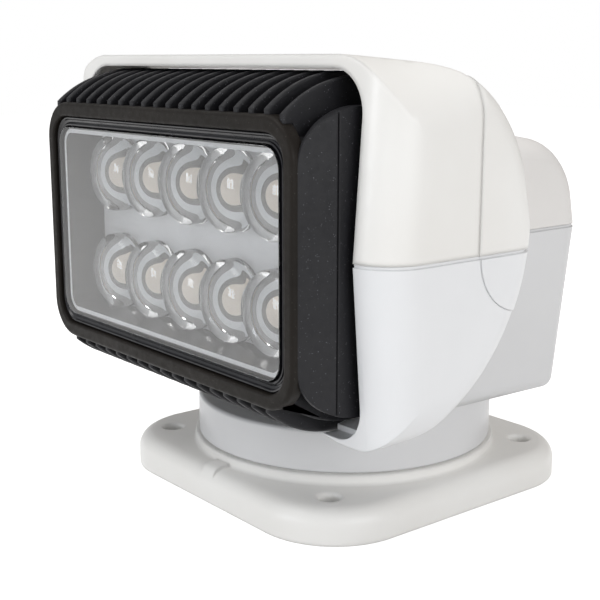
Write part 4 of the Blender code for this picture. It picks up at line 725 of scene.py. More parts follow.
def cheeked(name, outline, half_width, inset=0.0, steps=ROLL, draft=0.0, draft_from=0.0):
    """Solid between two flat cheeks whose edges roll over into the outline seen from the side."""
    def ring(side, turn):
        points = []
        for y, z, out_y, out_z, roll in outline:
            left = max(roll - inset, LEAST_ROLL)
            pull = inset + left * (1.0 - math.sin(turn))
            high = z - out_z * pull
            x = half_width - inset - left * (1.0 - math.cos(turn)) - draft * (high - draft_from)
            points.append((side * x, y - out_y * pull, high))
        return points

    turns = quarter(steps)
    rings = [ring(1.0, turn) for turn in turns]
    rings += [ring(-1.0, turn) for turn in reversed(turns)]
    return stack(name, rings)


def soften(item, width, segments=3, angle=35.0):
    """Small round edges all over a piece."""
    modifier = item.modifiers.new("edges", "BEVEL")
    modifier.width = width
    modifier.segments = segments
    modifier.limit_method = "ANGLE"
    modifier.angle_limit = math.radians(angle)
    modifier.harden_normals = False
    return work_in(item)


def settle(item, body, slot, *nodes):
    """Smooth a piece's faces, set it on its body and let it stand for CAD nodes."""
    item.data.shade_smooth()
    item.data.set_sharp_from_angle(angle=SMOOTH)
    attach(item, body)
    if nodes:
        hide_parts(*nodes)
    return item


def dress(item, material, body, slot, *nodes):
    """Give a piece one material and even normals, and settle it."""
    item.data.materials.clear()
    item.data.materials.append(material)
    normals = item.modifiers.new("normals", "WEIGHTED_NORMAL")
    normals.keep_sharp = True
    normals.weight = 60
    return settle(item, body, slot, *nodes)


def repaint(item, material, chosen):
    """Give the faces that are chosen a second material."""
    item.data.materials.append(material)
    for face in item.data.polygons:
        if chosen(face):
            face.material_index = 1


# Base

def index_mark(outline):
    """Low raised mark on the middle of the base's front edge."""
    mark = rectangle(MARK_WIDTH / 2, BASE_SIDE / 4, MARK_CORNER, (0.0, -BASE_SIDE / 2), 6)
    rib = prism("mark", moved(mark, 0.0), "Z", BASE_FLOOR, BASE_HEIGHT + 2 * MARK_RISE)
    levels = [(MARK_SINK, 0.0)]
    for turn in quarter(20):
        share = min(1.0, max(0.0, (turn - MARK_START) / MARK_SWELL))
        radius = BASE_EDGE + (MARK_RISE * share * share * (3.0 - 2.0 * share) - MARK_SINK)
        levels.append((BASE_EDGE - radius * math.cos(turn),
                       BASE_HEIGHT - BASE_EDGE + radius * math.sin(turn)))
    keep(rib, stack("over", rings_of(outline, levels, "Z")))
    return cut(rib, rod("past", COLLAR_RADIUS - LAP, "Z", ORIGIN, -FAR, FAR, ROUND))


def base_flange():
    """Square plate with a soft edge, a collar, the pan gear's land and the spindle boss."""
    outline = rectangle(BASE_SIDE / 2, BASE_SIDE / 2, BASE_CORNER, steps=24)
    levels = [(b, a) for a, b in rounding(BASE_FOOT, 3)]
    levels += [(a, BASE_HEIGHT - b) for a, b in rounding(BASE_EDGE, 12)]
    item = stack("base_body", rings_of(outline, levels, "Z"))
    inside = COLLAR_RADIUS - COLLAR_WALL
    cut(item, rod("well", inside + WELL_ROOM, "Z", ORIGIN, BASE_FLOOR * WELL_FLOOR, FAR, ROUND))
    step = COLLAR_HEIGHT + RUN_GAP * STEP_RISE
    tower = [
        (SPINDLE_RADIUS + GAP, BASE_FLOOR), (SPINDLE_RADIUS + GAP, BOSS_TOP),
        (BOSS_OUTER, BOSS_TOP), (BOSS_OUTER, GEAR_Z - GAP), (GEAR_LAND, GEAR_Z - GAP),
        (GEAR_LAND, BASE_FLOOR), (inside, BASE_FLOOR), (inside, step),
        (DRUM_RADIUS - STEP_INSET, step), (DRUM_RADIUS - STEP_FOOT, COLLAR_HEIGHT)]
    tower += [(COLLAR_RADIUS - b, COLLAR_HEIGHT - a) for a, b in rounding(COLLAR_LIP, 4)]
    tower += [(COLLAR_RADIUS + a, BASE_HEIGHT + b) for a, b in rounding(COLLAR_FILLET, 5)]
    tower += [(COLLAR_RADIUS + COLLAR_FILLET, BASE_FLOOR / 2), (0.0, BASE_FLOOR / 2), (0.0, BASE_FLOOR)]
    join(item, turned("tower", tower))
    join(item, index_mark(outline))
    slot_half = SPINDLE_RADIUS / 2
    cut(item, box("wireway", (-slot_half, 0.0, BASE_FLOOR),
                  (slot_half, GEAR_LAND + LAP, BASE_FLOOR + WIREWAY_HEIGHT)))
    inlet = (0.0, INLET_PLACE, 0.0)
    cut(item, rod("inlet", INLET_RADIUS + INLET_ROOM, "Z", inlet, -BEYOND, BASE_FLOOR + BEYOND))
    hole = [(0.0, -BEYOND), (SCREW_HOLE, -BEYOND)]
    hole += [(SCREW_HOLE + a, BASE_HEIGHT - b) for a, b in rounding(SCREW_MOUTH, 8)]
    hole += [(SCREW_HOLE + SCREW_MOUTH, FAR), (0.0, FAR)]
    half = SCREW_SPACING / 2
    for x in (-half, half):
        for y in (-half, half):
            cut(item, turned("hole", hole, centre=(x, y, 0.0), segments=SMALL))
    return item


# Housing

def box_outline():
    """Side outline of the motor housing, with its round nose about the tilt axis."""
    run = PIVOT_Y - BOX_FRONT
    end = 2 * math.pi + math.atan2(-math.sqrt(NOSE_RADIUS ** 2 - run ** 2), -run)
    corners = [
        (BOX_FRONT, BOX_BOTTOM, 0.0, BOX_SIDE_ROUND),
        (BOX_REAR_FOOT, BOX_BOTTOM, BOX_LOW_CORNER, BOX_LOW_CORNER * BOX_LOW_ROLL),
        (BOX_REAR, SEAM, 0.0, BOX_SIDE_ROUND),
        (BOX_REAR - BOX_TOP_BACK, BOX_TOP - BOX_TOP_FALL, BOX_TOP_ROUND, BOX_SIDE_ROUND),
        (PIVOT_Y + BOX_TOP_FLAT, BOX_TOP, 0.0, BOX_SIDE_ROUND),
    ]
    nose = arc((PIVOT_Y, PIVOT_Z), NOSE_RADIUS, math.pi / 2, end, 40)
    corners += [(y, z, 0.0, BOX_SIDE_ROUND) for y, z in nose]
    return rounded_outline(corners)


def pillar_foot(x, y):
    """Screw pillars stand on the drum's top where they can, or on the box's floor."""
    return DRUM_TOP if math.hypot(x, y) < DRUM_RADIUS - PILLAR_RADIUS else BOX_BOTTOM + WALL


def housings():
    """Lower housing with its drum, and the cover that closes it at the seam."""
    outline = box_outline()

    def form(name, draft, inset=0.0):
        return cheeked(name, outline, BOX_HALF, inset=inset, draft=draft, draft_from=SEAM)

    lower = form("housing_body", -BOX_DRAFT)
    keep(lower, slab("under", 0.0, SEAM_LOW))
    neck_top = BOX_BOTTOM + WALL / 2
    profile = [(0.0, DRUM_BOTTOM)]
    profile += [(DRUM_RADIUS - b, DRUM_BOTTOM + a) for a, b in rounding(DRUM_EDGE / 3, 4)]
    profile += [(DRUM_RADIUS - a, neck_top - b) for a, b in rounding(DRUM_EDGE, 6)]
    drum = turned("drum", profile + [(0.0, neck_top)])
    step = box("step", (-FAR, -FAR, 0.0), (FAR, BOX_FRONT + WALL / 2, FAR))
    crown = [(0.0, -FAR), (DRUM_RADIUS + GAP, -FAR), (DRUM_RADIUS + GAP, DRUM_TOP - DRUM_EDGE)]
    crown += [(DRUM_RADIUS - a, DRUM_TOP - b) for a, b in rounding(DRUM_EDGE, 6)]
    cut(step, turned("crown", crown + [(0.0, DRUM_TOP)]))
    join(lower, cut(drum, step))
    cut(lower, form("inside", -BOX_DRAFT, WALL))
    room = DRUM_RADIUS - DRUM_WALL
    neck_room = rod("neck_room", room, "Z", ORIGIN, DRUM_TOP, BOX_BOTTOM + WALL + LAP, ROUND)
    keep(neck_room, box("neck_box", (-FAR, BOX_FRONT + WALL, 0.0), (FAR, BOX_REAR_FOOT - WALL, FAR)))
    cut(lower, neck_room, rod("drum_room", room, "Z", ORIGIN, 0.0, DRUM_FLOOR, ROUND))
    hub = BUSH_WALL + SPINDLE_RADIUS + 2 * GAP + WALL
    join(lower, rod("hub", hub, "Z", ORIGIN, HUB_Z, HUB_TOP))
    cut(lower, rod("hub_bore", hub - WALL, "Z", ORIGIN, 0.0, FAR))

    upper = form("housing_cover", BOX_DRAFT)
    keep(upper, slab("over", SEAM_HIGH, FAR))
    cut(upper, form("inside", BOX_DRAFT, WALL))

    lip = form("lip", -BOX_DRAFT, LIP_DEEP)
    keep(lip, slab("lip_box", SEAM_LOW - WALL / 2, SEAM_HIGH - GAP / 3))
    join(lower, cut(lip, form("inside", -BOX_DRAFT, WALL)))

    for x, y in [(side * x, y) for x, y in PILLAR_ROWS for side in (1, -1)]:
        at = (x, y, 0.0)
        foot = pillar_foot(x, y)
        join(lower, rod("pillar", PILLAR_RADIUS, "Z", at, foot - LAP, SEAM_LOW))
        cut(lower, rod("screw_way", SCREW_RADIUS + GAP, "Z", at, 0.0, FAR))
        if foot > DRUM_TOP:
            cut(lower, rod("head_way", SCREW_HEAD + GAP, "Z", at, 0.0, foot + SCREW_HEAD_HEIGHT))
    for shell in (lower, upper):
        for side in (-1, 1):
            ends = sorted((side * (BOX_HALF - BUSH_DEEP), side * (BOX_HALF + BEYOND)))
            cut(shell, rod("bush_seat", BUSH_RADIUS + GAP, "X", PIVOT, *ends))
    return lower, upper


# Hood

def hood_outline():
    """Side outline of the hood: a leaning front edge, a flat top and large rear rounds."""
    lean = HOOD_FRONT + HOOD_LEAN
    tall = HOOD_TOP - HOOD_BOTTOM
    heel = (HOOD_REAR - HOOD_HEEL, HOOD_BOTTOM + HOOD_HEEL_RISE)
    shoulder = (HOOD_REAR - HOOD_SHOULDER, HOOD_TOP - HOOD_SHOULDER_FALL)
    return rounded_outline([
        (lean, HOOD_BOTTOM, 0.0, SEAM_GAP),
        (*heel, tall * HOOD_LOW_BEND, HOOD_BACK_ROUND),
        (HOOD_REAR, SEAM + HOOD_REAR_RISE, tall * HOOD_MID_BEND, HOOD_BACK_ROUND),
        (*shoulder, tall * HOOD_TOP_BEND, HOOD_BACK_ROUND),
        (lean, HOOD_TOP, 0.0, SEAM_GAP),
        (HOOD_FRONT, SEAM, 0.0, SEAM_GAP),
    ], 28)


def corner_growth(up):
    """Places along Y with the hood's extra corner radius there: rounder at the front above."""
    most = CORNER_MORE if up > 0 else 0.0
    start = HOOD_FRONT + HOOD_LEAN
    steps = 16
    rows = [(-FAR, most), (start, most)]
    for k in range(1, steps + 1):
        share = k / steps
        rows.append((start + CORNER_RUN * share, most * (1.0 + math.cos(math.pi * share)) / 2))
    return rows + [(FAR, 0.0)]


def hood_edges(side, inset):
    """Cutters for one cheek: the roll into the front edge, and the corners above and below."""
    flat = HOOD_HALF - inset + NUDGE
    beyond = HOOD_HALF + WALL * 2
    over = WALL * 4
    radius = HOOD_RIM_ROUND - inset
    roll = [(flat - a, b) for a, b in rounding(radius, 16)]
    roll += [(flat - radius, -over), (beyond, -over), (beyond, radius)]
    rings = []
    for height in (HOOD_BOTTOM - over, SEAM, HOOD_TOP + over):
        reach = abs(height - SEAM) / (HOOD_TOP - SEAM) * HOOD_LEAN
        rings.append([(side * x, HOOD_FRONT + inset + reach + y, height) for x, y in roll])
    cutters = [stack("front_roll", rings)]
    for edge, up in ((HOOD_TOP - inset, 1.0), (HOOD_BOTTOM + inset, -1.0)):
        rings = []
        for y, more in corner_growth(up):
            radius = HOOD_CORNER + more - inset
            corner = [(flat - a, edge + up * (NUDGE - b)) for a, b in rounding(radius, 16)]
            corner += [(flat - radius, edge + up * over), (beyond, edge + up * over),
                       (beyond, edge - up * radius)]
            rings.append([(side * x, y, z) for x, z in corner])
        cutters.append(stack("corner", rings))
    return cutters


def hood_solid(name, inset):
    """The hood's form with every face moved in by inset."""
    solid = cheeked(name, hood_outline(), HOOD_HALF, inset=inset)
    for side in (-1, 1):
        cut(solid, *hood_edges(side, inset))
    return solid


def hood_skin(name, proud):
    """The whole hood before it is split: a shell with a front opening and a slot for the housing."""
    skin = hood_solid(name, -proud)
    room = hood_solid("room", WALL)
    for side in (-1, 1):
        cut(room, box("inner_wall", (side * (SLOT_HALF - BEYOND), STRIP_REAR, -FAR),
                      (side * POD_INNER, FAR, FAR)))
    cut(skin, room)
    cut(skin, box("slot", (-SLOT_HALF, STRIP_REAR, -FAR), (SLOT_HALF, FAR, FAR)))
    low = HOOD_BOTTOM + LOWER_RIM
    high = HOOD_TOP - OPENING_RIM
    opening = rounded_outline([
        (-OPENING_HALF, low, LOWER_CORNER, 0.0), (OPENING_HALF, low, LOWER_CORNER, 0.0),
        (OPENING_HALF, high, OPENING_CORNER, 0.0), (-OPENING_HALF, high, OPENING_CORNER, 0.0)])
    front = HOOD_FRONT + HOOD_LEAN + WALL + OPENING_DEPTH
    cut(skin, prism("opening", moved(opening, 0.0), "Y", -FAR, front))
    return skin


def hood_parts():
    """Upper hood, rear band, lower hood half and pivot cover; the last three for the right side."""
    skin = hood_skin("skin", 0.0)
    proud = hood_skin("proud", PROUD)

    upper = copy_of(skin, "hood_crown")
    keep(upper, box("front_top", (-FAR, -FAR, SEAM_HIGH), (FAR, BAND_LINE - GAP / 3 - WELD * 20, FAR)))
    band = copy_of(proud, "rear_band_right")
    keep(band, box("rear_top", (0.0, BAND_LINE - GAP / 3, SEAM_HIGH), (FAR, FAR, FAR)))

    tip = HOOD_HALF - LIP_LENGTH
    lower = copy_of(skin, "hood_cheek_right")
    keep(lower, box("lower_half", (tip, -FAR, -FAR), (FAR, FAR, SEAM_HIGH - GAP / 3)))
    rebate = box("rebate", (0.0, -FAR, SEAM_LOW), (FAR, FAR, FAR))
    cut(lower, cut(rebate, hood_solid("lip", LIP_DEEP)))
    taper = [(tip + u, HOOD_BOTTOM + v) for u, v in LIP_TAPER]
    cut(lower, prism("taper", taper, "Y", -FAR, HOOD_FRONT + TAPER_DEPTH))
    reach = HOOD_HALF - COVER_REACH
    cut(lower, rod("cover_seat", COVER_RADIUS + WELD * 20, "X", PIVOT, reach - GAP, FAR, MEDIUM))

    cover = copy_of(proud, "pivot_cap_right")
    tongue = copy_of(skin, "tongue")
    for piece, low, high in ((cover, 0.0, SEAM_LOW), (tongue, SEAM - TONGUE_DEEP, SEAM_HIGH - GAP / 2)):
        keep(piece, rod("disc", COVER_RADIUS, "X", PIVOT, reach, FAR, MEDIUM))
        keep(piece, box("half_disc", (0.0, -FAR, low), (FAR, FAR, high)))
    join(cover, keep(tongue, hood_solid("lip", LIP_DEEP)))
    for shell in (band, lower):
        cut(shell, rod("shaft_way", SHAFT_RADIUS + GAP, "X", PIVOT, SLOT_HALF - BEYOND, POD_INNER + LAP))
    for item in (skin, proud):
        bpy.data.objects.remove(item, do_unlink=True)
    return upper, band, lower, cover


# Lamp

def about_lamp(half_width, half_height, radius, steps):
    """Outline with round corners about the lamp's centre."""
    return rectangle(half_width, half_height, radius, (0.0, LAMP_CENTRE_Z), steps)


def lamp_bezel():
    """Front frame with soft edges and the recess that holds the seal and the window."""
    outer = about_lamp(LAMP_HALF_WIDTH, LAMP_HALF_HEIGHT, LAMP_CORNER, 16)
    inner = about_lamp(*FRAME_MOUTH, 16)
    seat = LENS_THICKNESS + WINDOW_SET + GAP
    back = FRAME_DEPTH + FRAME_LAP
    profile = [(outer, 0.0, FRAME_DEPTH + FRAME_LAP / 2)]
    profile += [(outer, a, b) for a, b in rounding(BEZEL_ROUND, 10)]
    profile += [(inner, -b, a) for a, b in rounding(MOUTH_ROUND, 5)]
    profile += [(inner, 0.0, seat), (inner, LEDGE, seat), (inner, LEDGE, seat + FRAME_LAP),
                (inner, -FRAME_FLARE, back), (outer, FRAME_LAP, back)]
    rings = [[(u, LAMP_FRONT + depth, v) for u, v in moved(outline, inset)]
             for outline, inset, depth in profile]
    return stack("lamp_bezel", rings, closed=True)


def lamp_core():
    """Cast body behind the frame: an open box with a wire hole in its rear wall."""
    outer = about_lamp(CORE_HALF_WIDTH, CORE_HALF_HEIGHT, CORE_CORNER, 12)
    inner = about_lamp(CAVITY_HALF_WIDTH, CAVITY_HALF_HEIGHT, CAVITY_CORNER, 12)
    front = LAMP_FRONT + FRAME_DEPTH + CORE_LAP
    rings = rings_of(inner, [(0.0, LAMP_REAR - CAVITY_FLOOR), (0.0, front)])
    rings += rings_of(outer, [(0.0, front)] + [(a, LAMP_REAR - b) for a, b in rounding(LAMP_EDGE, 5)])
    hole = rod("wire_hole", INLET_RADIUS, "Y", (0.0, 0.0, LAMP_CENTRE_Z), LAMP_REAR - 2 * CAVITY_FLOOR, FAR)
    return cut(stack("lamp_core", rings), hole)


def fin(x, side, drop):
    """One cast fin with a rounded edge, rooted in the core."""
    front = LAMP_FRONT + LAMP_EDGE + FIN_SET
    start = math.acos((front - FIN_ARC_Y) / FIN_ARC)
    edge = arc((FIN_ARC_Y, FIN_REACH - FIN_ARC), FIN_ARC, start, math.pi / 2, 22)
    corners = [(y, z - drop) for y, z in edge]
    back = LAMP_REAR - FIN_SETBACK
    behind = LAMP_FRONT + FRAME_DEPTH + LAP
    root = CORE_HALF_HEIGHT - FIN_ROOT
    nose = LAMP_HALF_HEIGHT - FIN_ROOT
    corners += [(back, corners[-1][1]), (back, root), (behind, root), (behind, nose), (front, nose)]
    roll = FIN_THICKNESS * FIN_ROLL
    outline = rounded_outline([(y, z, 0.0, roll) for y, z in reversed(corners)])
    item = cheeked("fin", outline, FIN_THICKNESS / 2, steps=4)
    item.data.transform(Matrix.Scale(side, 4, (0.0, 0.0, 1.0)))
    if side < 0:
        item.data.flip_normals()
    item.data.transform(Matrix.Translation((x, 0.0, LAMP_CENTRE_Z)))
    return item


def lamp_fins():
    """Rows of fins above and below, with lower ones at the corners."""
    places = [((k - (FIN_COUNT - 1) / 2) * FIN_PITCH, 0.0, 0.0) for k in range(FIN_COUNT)]
    places += [(side * CORNER_FIN_X, FIN_DROP, FIN_DROP_LOW) for side in (-1, 1)]
    return gather("lamp_fins", [fin(x, side, drop) for x, *drops in places
                                for side, drop in zip((1, -1), drops)])


def side_panel():
    """Side wall of the lamp: flares out from the frame to a parting line, then runs back."""
    front = LAMP_FRONT + LAMP_EDGE + LAP
    back = LAMP_REAR - FIN_SETBACK
    upper = [(front + PANEL_ARC * (1.0 - math.cos(turn)),
              PANEL_HALF_HEIGHT - PANEL_ARC_RISE * (1.0 - math.sin(turn))) for turn in quarter(20)]
    upper.append((back, PANEL_HALF_HEIGHT))
    shape = [(y, LAMP_CENTRE_Z + z) for y, z in upper]
    shape += [(y, LAMP_CENTRE_Z - z) for y, z in reversed(upper)]
    plan = [(PANEL_INNER, front), (LAMP_HALF_WIDTH, front), (PANEL_HALF, PANEL_LINE), (PANEL_HALF, back),
            (PANEL_INNER, back)]
    panel = prism("panel", plan, "Z", -FAR, FAR)
    keep(panel, prism("shape", shape, "X", -FAR, FAR))
    return cut(panel, box("groove", (PANEL_HALF - PANEL_STEP, PANEL_LINE, -FAR),
                          (FAR, PANEL_LINE + PANEL_STEP / 2, FAR)))


def lamp_bosses():
    """Round bosses with small bores at the casting's four corners."""
    start = LAMP_FRONT + BOSS_BACK
    end = LAMP_REAR - FIN_SETBACK
    bore = BOSS_RADIUS * BOSS_BORE
    profile = [(0.0, start + BOSS_BORE_DEPTH), (bore, start + BOSS_BORE_DEPTH), (bore, start + BOSS_EDGE),
               (bore + BOSS_EDGE, start), (BOSS_RADIUS - BOSS_EDGE, start),
               (BOSS_RADIUS, start + BOSS_EDGE), (BOSS_RADIUS, end), (0.0, end)]
    beyond = CORE_CORNER - BOSS_INSET
    rise = CORE_HALF_HEIGHT - CORE_CORNER + math.sqrt(CORE_CORNER ** 2 - beyond ** 2)
    pieces = []
    for side in (-1, 1):
        for high in (-1, 1):
            at = (side * (CORE_HALF_WIDTH - BOSS_INSET), 0.0,
                  LAMP_CENTRE_Z + high * (rise + BOSS_RADIUS * BOSS_SINK))
            pieces.append(turned("boss", profile, "Y", at, 24))
    return gather("lamp_bosses", pieces)


def optic_places():
    for row in (0, 1):
        for column in range(OPTIC_COLUMNS):
            x = (column - (OPTIC_COLUMNS - 1) / 2) * OPTIC_PITCH
            yield x, LAMP_CENTRE_Z + (0.5 - row) * (OPTIC_ROW_GAP - 2 * OPTIC_SHIFT)


def at_optics(name, profile, segments):
    """The same turned piece behind every optic, as one object."""
    return gather(name, [turned(name, profile, "Y", (x, 0.0, z), segments) for x, z in optic_places()])


def window_pane():
    """Clear window with a small polished bevel around its face."""
    levels = [(inset, WINDOW_FRONT + depth) for inset, depth in PANE_EDGE]
    return stack("window_pane", rings_of(about_lamp(*WINDOW, 14), levels))


def window_seal():
    """Rubber seal around the window with a rounded front bead."""
    near = moved(about_lamp(*WINDOW, 14), -GAP)
    far = moved(about_lamp(*FRAME_MOUTH, 14), GAP / 3)
    rings = []
    for share, depth in SEAL_BEAD:
        rings.append([(a + (c - a) * share, WINDOW_FRONT + depth, b + (d - b) * share)
                      for (a, b), (c, d) in zip(near, far)])
    return stack("window_seal", rings, closed=True)


def optic_form():
    """One clear optic about the Y axis: a shallow foot whose back is painted with rings, flat sides, a
    domed face; the rings are a cream disc, a dark ring of painted shade, a pale ring of painted reflection
    and a grey edge.
    """
    base = TRAY_FLOOR - GAP
    foot = TRAY_FLOOR + TRAY_WALL * FOOT_DEPTH
    rim = base - RIM_HEIGHT
    profile = [(radius, foot) for radius in (0.0, *SEAT_RADII, OPTIC_FOOT - FOOT_EDGE)]
    profile += [(OPTIC_FOOT, foot - FOOT_EDGE), (OPTIC_FOOT, base), (OPTIC_WIDE - RIM_EDGE, base),
                (OPTIC_WIDE, base - RIM_EDGE)]
    profile += [(OPTIC_WIDE * math.cos(turn), rim - DOME_HEIGHT * math.sin(turn))
                for turn in quarter(30)[:-1]]
    profile.append((0.0, rim - DOME_HEIGHT))
    form = turned("optic_form", profile, "Y", segments=MEDIUM)
    keep(form, box("sides", (-OPTIC_RADIUS, -FAR, -FAR), (OPTIC_RADIUS, FAR, FAR)))
    form.data.materials.clear()
    for material in (OPTIC, SEAT_DISC, SEAT_RING_PAINTED_SHADE, SEAT_RIM_PAINTED_REFLECTION, SEAT_EDGE):
        form.data.materials.append(material)
    for face in form.data.polygons:
        middle = face.center
        out = math.hypot(middle.x, middle.z)
        on_back = middle.y > foot - FOOT_EDGE / 3
        face.material_index = 1 + sum(out >= radius for radius in SEAT_RADII) if on_back else 0
    return form


def holders():
    """Pale cups behind the optics' feet, between the tray and the LED board."""
    top = TRAY_FLOOR + TRAY_WALL + GAP
    foot = BOARD_FACE - GAP
    inner = OPTIC_FOOT + GAP
    outer = inner + CUP_WALL
    profile = [(inner, top), (outer, top), (outer - CUP_TAPER[0], foot), (inner - CUP_TAPER[1], foot)]
    return at_optics("optic_holders", profile, SMALL)


def optic_plate():
    """Grey moulded tray with side walls and a hole for each optic's foot."""
    opening = about_lamp(CAVITY_HALF_WIDTH - GAP, CAVITY_HALF_HEIGHT - GAP, CAVITY_CORNER, 10)
    front = WINDOW_FRONT + LENS_THICKNESS + 2 * GAP
    levels = [(0.0, TRAY_FLOOR + TRAY_WALL), (0.0, front), (TRAY_WALL, front)]
    levels += [(TRAY_WALL + more, TRAY_FLOOR - before) for before, more in TRAY_FILLET]
    tray = stack("grey_tray", rings_of(opening, levels))
    for x, z in optic_places():
        cut(tray, rod("foot_hole", OPTIC_FOOT + GAP, "Y", (x, 0.0, z), TRAY_FLOOR - BEYOND,
                      TRAY_FLOOR + BEYOND, SMALL))
    return tray


def led_plate():
    shape = about_lamp(LENS_HALF_WIDTH - BOARD_MARGIN, LENS_HALF_HEIGHT - BOARD_MARGIN, BOARD_CORNER, 5)
    return prism("led_plate", moved(shape, 0.0), "Y", BOARD_FACE, BOARD_BACK)


def led_chips():
    profile = [(0.0, BOARD_FACE + LED_SINK), (LED_RADIUS, BOARD_FACE + LED_SINK),
               (LED_RADIUS, BOARD_FACE - LED_HEIGHT * LED_SIDE),
               (LED_RADIUS * LED_SHOULDER[0], BOARD_FACE - LED_HEIGHT * LED_SHOULDER[1]),
               (0.0, BOARD_FACE - LED_HEIGHT)]
    return at_optics("led_chips", profile, FINE)


# Stage

FLOOR_HALF = 3.0
FLOOR_GLOW = 0.78            # brings the floor that is seen up to the white behind it
WORLD_LOW = 0.66             # strength of the surround near the floor
WORLD_HIGH = 0.96            # and overhead
SKY_FRONT = (0.87, 0.89, 0.92)
SKY_BACK = (0.58, 0.555, 0.53)
LAMP_AIM = (0.0, -0.02, 0.09)
# Name, place, size, power and tint
LAMPS = (
    ("key", (-0.20, -0.70, 1.40), (0.7, 0.7), 7.0, (1.0, 0.985, 0.96)),
    ("side", (1.33, -0.12, 0.45), (0.9, 0.5), 6.3, (0.98, 0.99, 1.0)),
    ("window_left", (-0.52, -1.9, 0.32), (0.24, 0.42), 3.2, (0.93, 0.965, 1.0)),
    ("window_right", (-0.22, -1.9, 0.32), (0.24, 0.42), 3.2, (0.93, 0.965, 1.0)),
)


def camera():
    data = bpy.data.cameras.new("camera")
    data.lens = LENS_MM
    data.sensor_width = SENSOR_MM
    data.clip_start = 0.01
    item = added("camera", data)
    right, up, back = (Vector(axis).normalized() for axis in CAMERA_AXES)
    turn = Matrix((right, up, back)).transposed().to_4x4()
    item.matrix_world = Matrix.Translation(CAMERA_PLACE) @ turn
    bpy.context.scene.camera = item


def wired(owner, kind, *values):
    """A new node with its sockets linked in their order."""
    node = grow(owner, kind)
    for value, socket in zip(values, node.inputs):
        owner.node_tree.links.new(value, socket)
    return node


def either(owner, one, other):
    """1 where either value is 1."""
    node = wired(owner, "ShaderNodeMath", one, other)
    node.operation = "MAXIMUM"
    return node.outputs[0]


def floor():
    """Pale floor that keeps the shadow; it glows a little only where it is seen."""
    corners = ((-1, -1), (1, -1), (1, 1), (-1, 1))
    item = new_object("floor", [(FLOOR_HALF * x, FLOOR_HALF * y, 0.0) for x, y in corners], [(0, 1, 2, 3)])
    material = new_material("studio_floor")[0]
    material.node_tree.nodes.clear()
    tone = ramp(material, noise(material, 3.0), (0.62, 0.615, 0.61), (0.64, 0.635, 0.63))
    paint = grow(material, "ShaderNodeBsdfDiffuse", Color=tone).outputs[0]
    glow = grow(material, "ShaderNodeEmission", Strength=FLOOR_GLOW).outputs[0]
    both = wired(material, "ShaderNodeAddShader", paint, glow).outputs[0]
    path = grow(material, "ShaderNodeLightPath").outputs
    seen = either(material, path["Is Camera Ray"], path["Is Glossy Ray"])
    seen = either(material, seen, path["Is Transmission Ray"])
    mix = wired(material, "ShaderNodeMixShader", seen, paint, both)
    grow(material, "ShaderNodeOutputMaterial", Surface=mix.outputs[0])
    item.data.materials.append(material)


def surround():
    """White to the eye; for all other rays a soft light, cool in front and warm behind."""
    world = bpy.data.worlds.new("surround")
    world.use_nodes = True
    bpy.context.scene.world = world
    world.node_tree.nodes.clear()
    where = grow(world, "ShaderNodeTexCoord").outputs["Generated"]
    split = grow(world, "ShaderNodeSeparateXYZ", Vector=where).outputs
    across = grow(world, "ShaderNodeMapRange", Value=split["Y"], From_Min=-0.8, From_Max=0.8)
    rise = grow(world, "ShaderNodeMapRange", Value=split["Z"], From_Min=-0.1, From_Max=0.9,
                To_Min=WORLD_LOW, To_Max=WORLD_HIGH)
    shade = ramp(world, across.outputs["Result"], SKY_FRONT, SKY_BACK, 0.0, 1.0)
    lit = grow(world, "ShaderNodeBackground", Color=shade, Strength=rise.outputs["Result"])
    white = grow(world, "ShaderNodeBackground", Color=colour(1.0, 1.0, 1.0), Strength=1.0)
    path = grow(world, "ShaderNodeLightPath").outputs
    seen = either(world, path["Is Camera Ray"], path["Is Transmission Ray"])
    mix = wired(world, "ShaderNodeMixShader", seen, lit.outputs[0], white.outputs[0])
    grow(world, "ShaderNodeOutputWorld", Surface=mix.outputs[0])


def lamps():
    """Soft lamps: one overhead, one at the side and two shaped like windows in front."""
    for name, at, size, power, tint in LAMPS:
        data = bpy.data.lights.new(name, "AREA")
        data.shape = "RECTANGLE"
        data.size, data.size_y = size
        data.energy = power
        data.color = tint
        aim = Vector(LAMP_AIM) - Vector(at)
        turn = aim.to_track_quat("-Z", "Y").to_matrix().to_4x4()
        added(name, data).matrix_world = Matrix.Translation(at) @ turn


# Assembly

KEPT = {"pan_gear": NYLON, "tilt_gear": NYLON, "thrust_washer": NYLON, "hub_bush": BRONZE,
        "pivot_bush_left": BRONZE, "pivot_bush_right": BRONZE, "cable_grommet": RUBBER,
        "housing_seal_front": SEALER, "housing_seal_rear": SEALER, "control_board": BOARD}


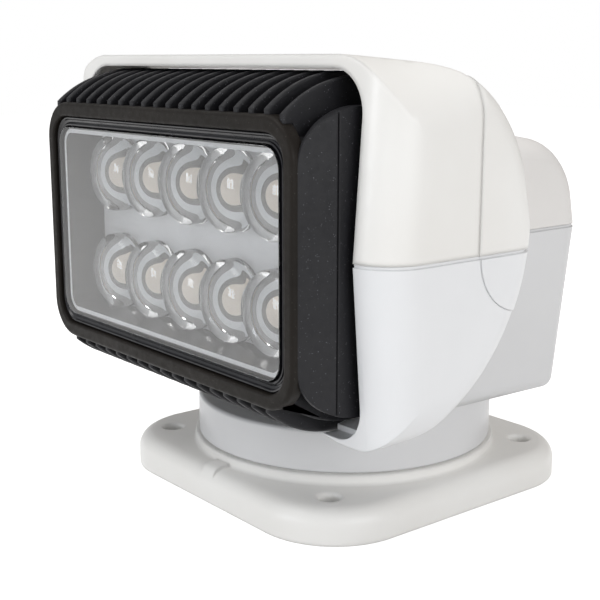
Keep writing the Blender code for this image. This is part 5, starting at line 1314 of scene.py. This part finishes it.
def build():
    bpy.context.scene.view_settings.view_transform = "Standard"
    camera()
    floor()
    surround()
    lamps()
    dress(base_flange(), WHITE, "base", "white_plastic", "base_flange")
    lower, upper = housings()
    dress(lower, HOUSING_LOW_SHADED, "turntable", "white_plastic", "lower_housing")
    dress(upper, HOUSING_TOP, "turntable", "white_plastic", "upper_housing")

    crown, band, cheek, cap = hood_parts()
    dress(crown, WHITE, "head", "white_plastic", "hood_upper")
    for piece, other, material, node in (
            (band, "rear_band_left", WHITE, "hood_band_"),
            (cheek, "hood_cheek_left", WHITE_SHADED, "hood_lower_"),
            (cap, "pivot_cap_left", WHITE_SHADED, "pivot_cover_")):
        twin = mirrored(piece, other)
        dress(piece, material, "head", "white_plastic", node + "right")
        dress(twin, material, "head", "white_plastic", node + "left")

    dress(lamp_bezel(), BEZEL_PAINTED_REFLECTION, "head", "black_coating", "lamp_housing")
    casting = [lamp_core(), lamp_fins()]
    right = soften(side_panel(), PANEL_SOFT)
    casting += [right, mirrored(right, "lamp_side_left"), lamp_bosses()]
    right.name = "lamp_side_right"
    for piece in casting:
        dress(piece, COATING, "head", "black_coating")
    pane = dress(window_pane(), LENS, "head", "clear_plastic", "lens")
    # The window's edge faces take the black seal's material: painted dark so the bright reflection along
    # the window's edge does not show.
    repaint(pane, GASKET, lambda face: abs(face.normal.y) < 0.1)
    dress(window_seal(), GASKET, "head", "black_rubber", "lens_gasket")
    tray = dress(optic_plate(), TRAY, "head", "silver_plate", "optic_tray")
    wall_end = TRAY_FLOOR - MIRROR_END
    repaint(tray, MIRROR, lambda face: face.center.y < wall_end and abs(face.normal.y) < 0.5)
    dress(holders(), HOLDER, "head", "silver_plate")
    dress(led_plate(), TRAY, "head", "silver_plate", "led_board")
    dress(led_chips(), PHOSPHOR, "head", "silver_plate")
    form = optic_form()
    for number, (x, z) in enumerate(optic_places(), 1):
        piece = copy_of(form, "clear_optic_%02d" % number)
        piece.data.transform(Matrix.Translation((x, 0.0, z)))
        settle(piece, "head", "clear_plastic", "optic_%02d" % number)
    bpy.data.objects.remove(form, do_unlink=True)

    for name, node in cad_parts.items():
        if node.hide_render:
            continue
        for slot in node.material_slots:
            slot.material = KEPT.get(name, STEEL)


build()
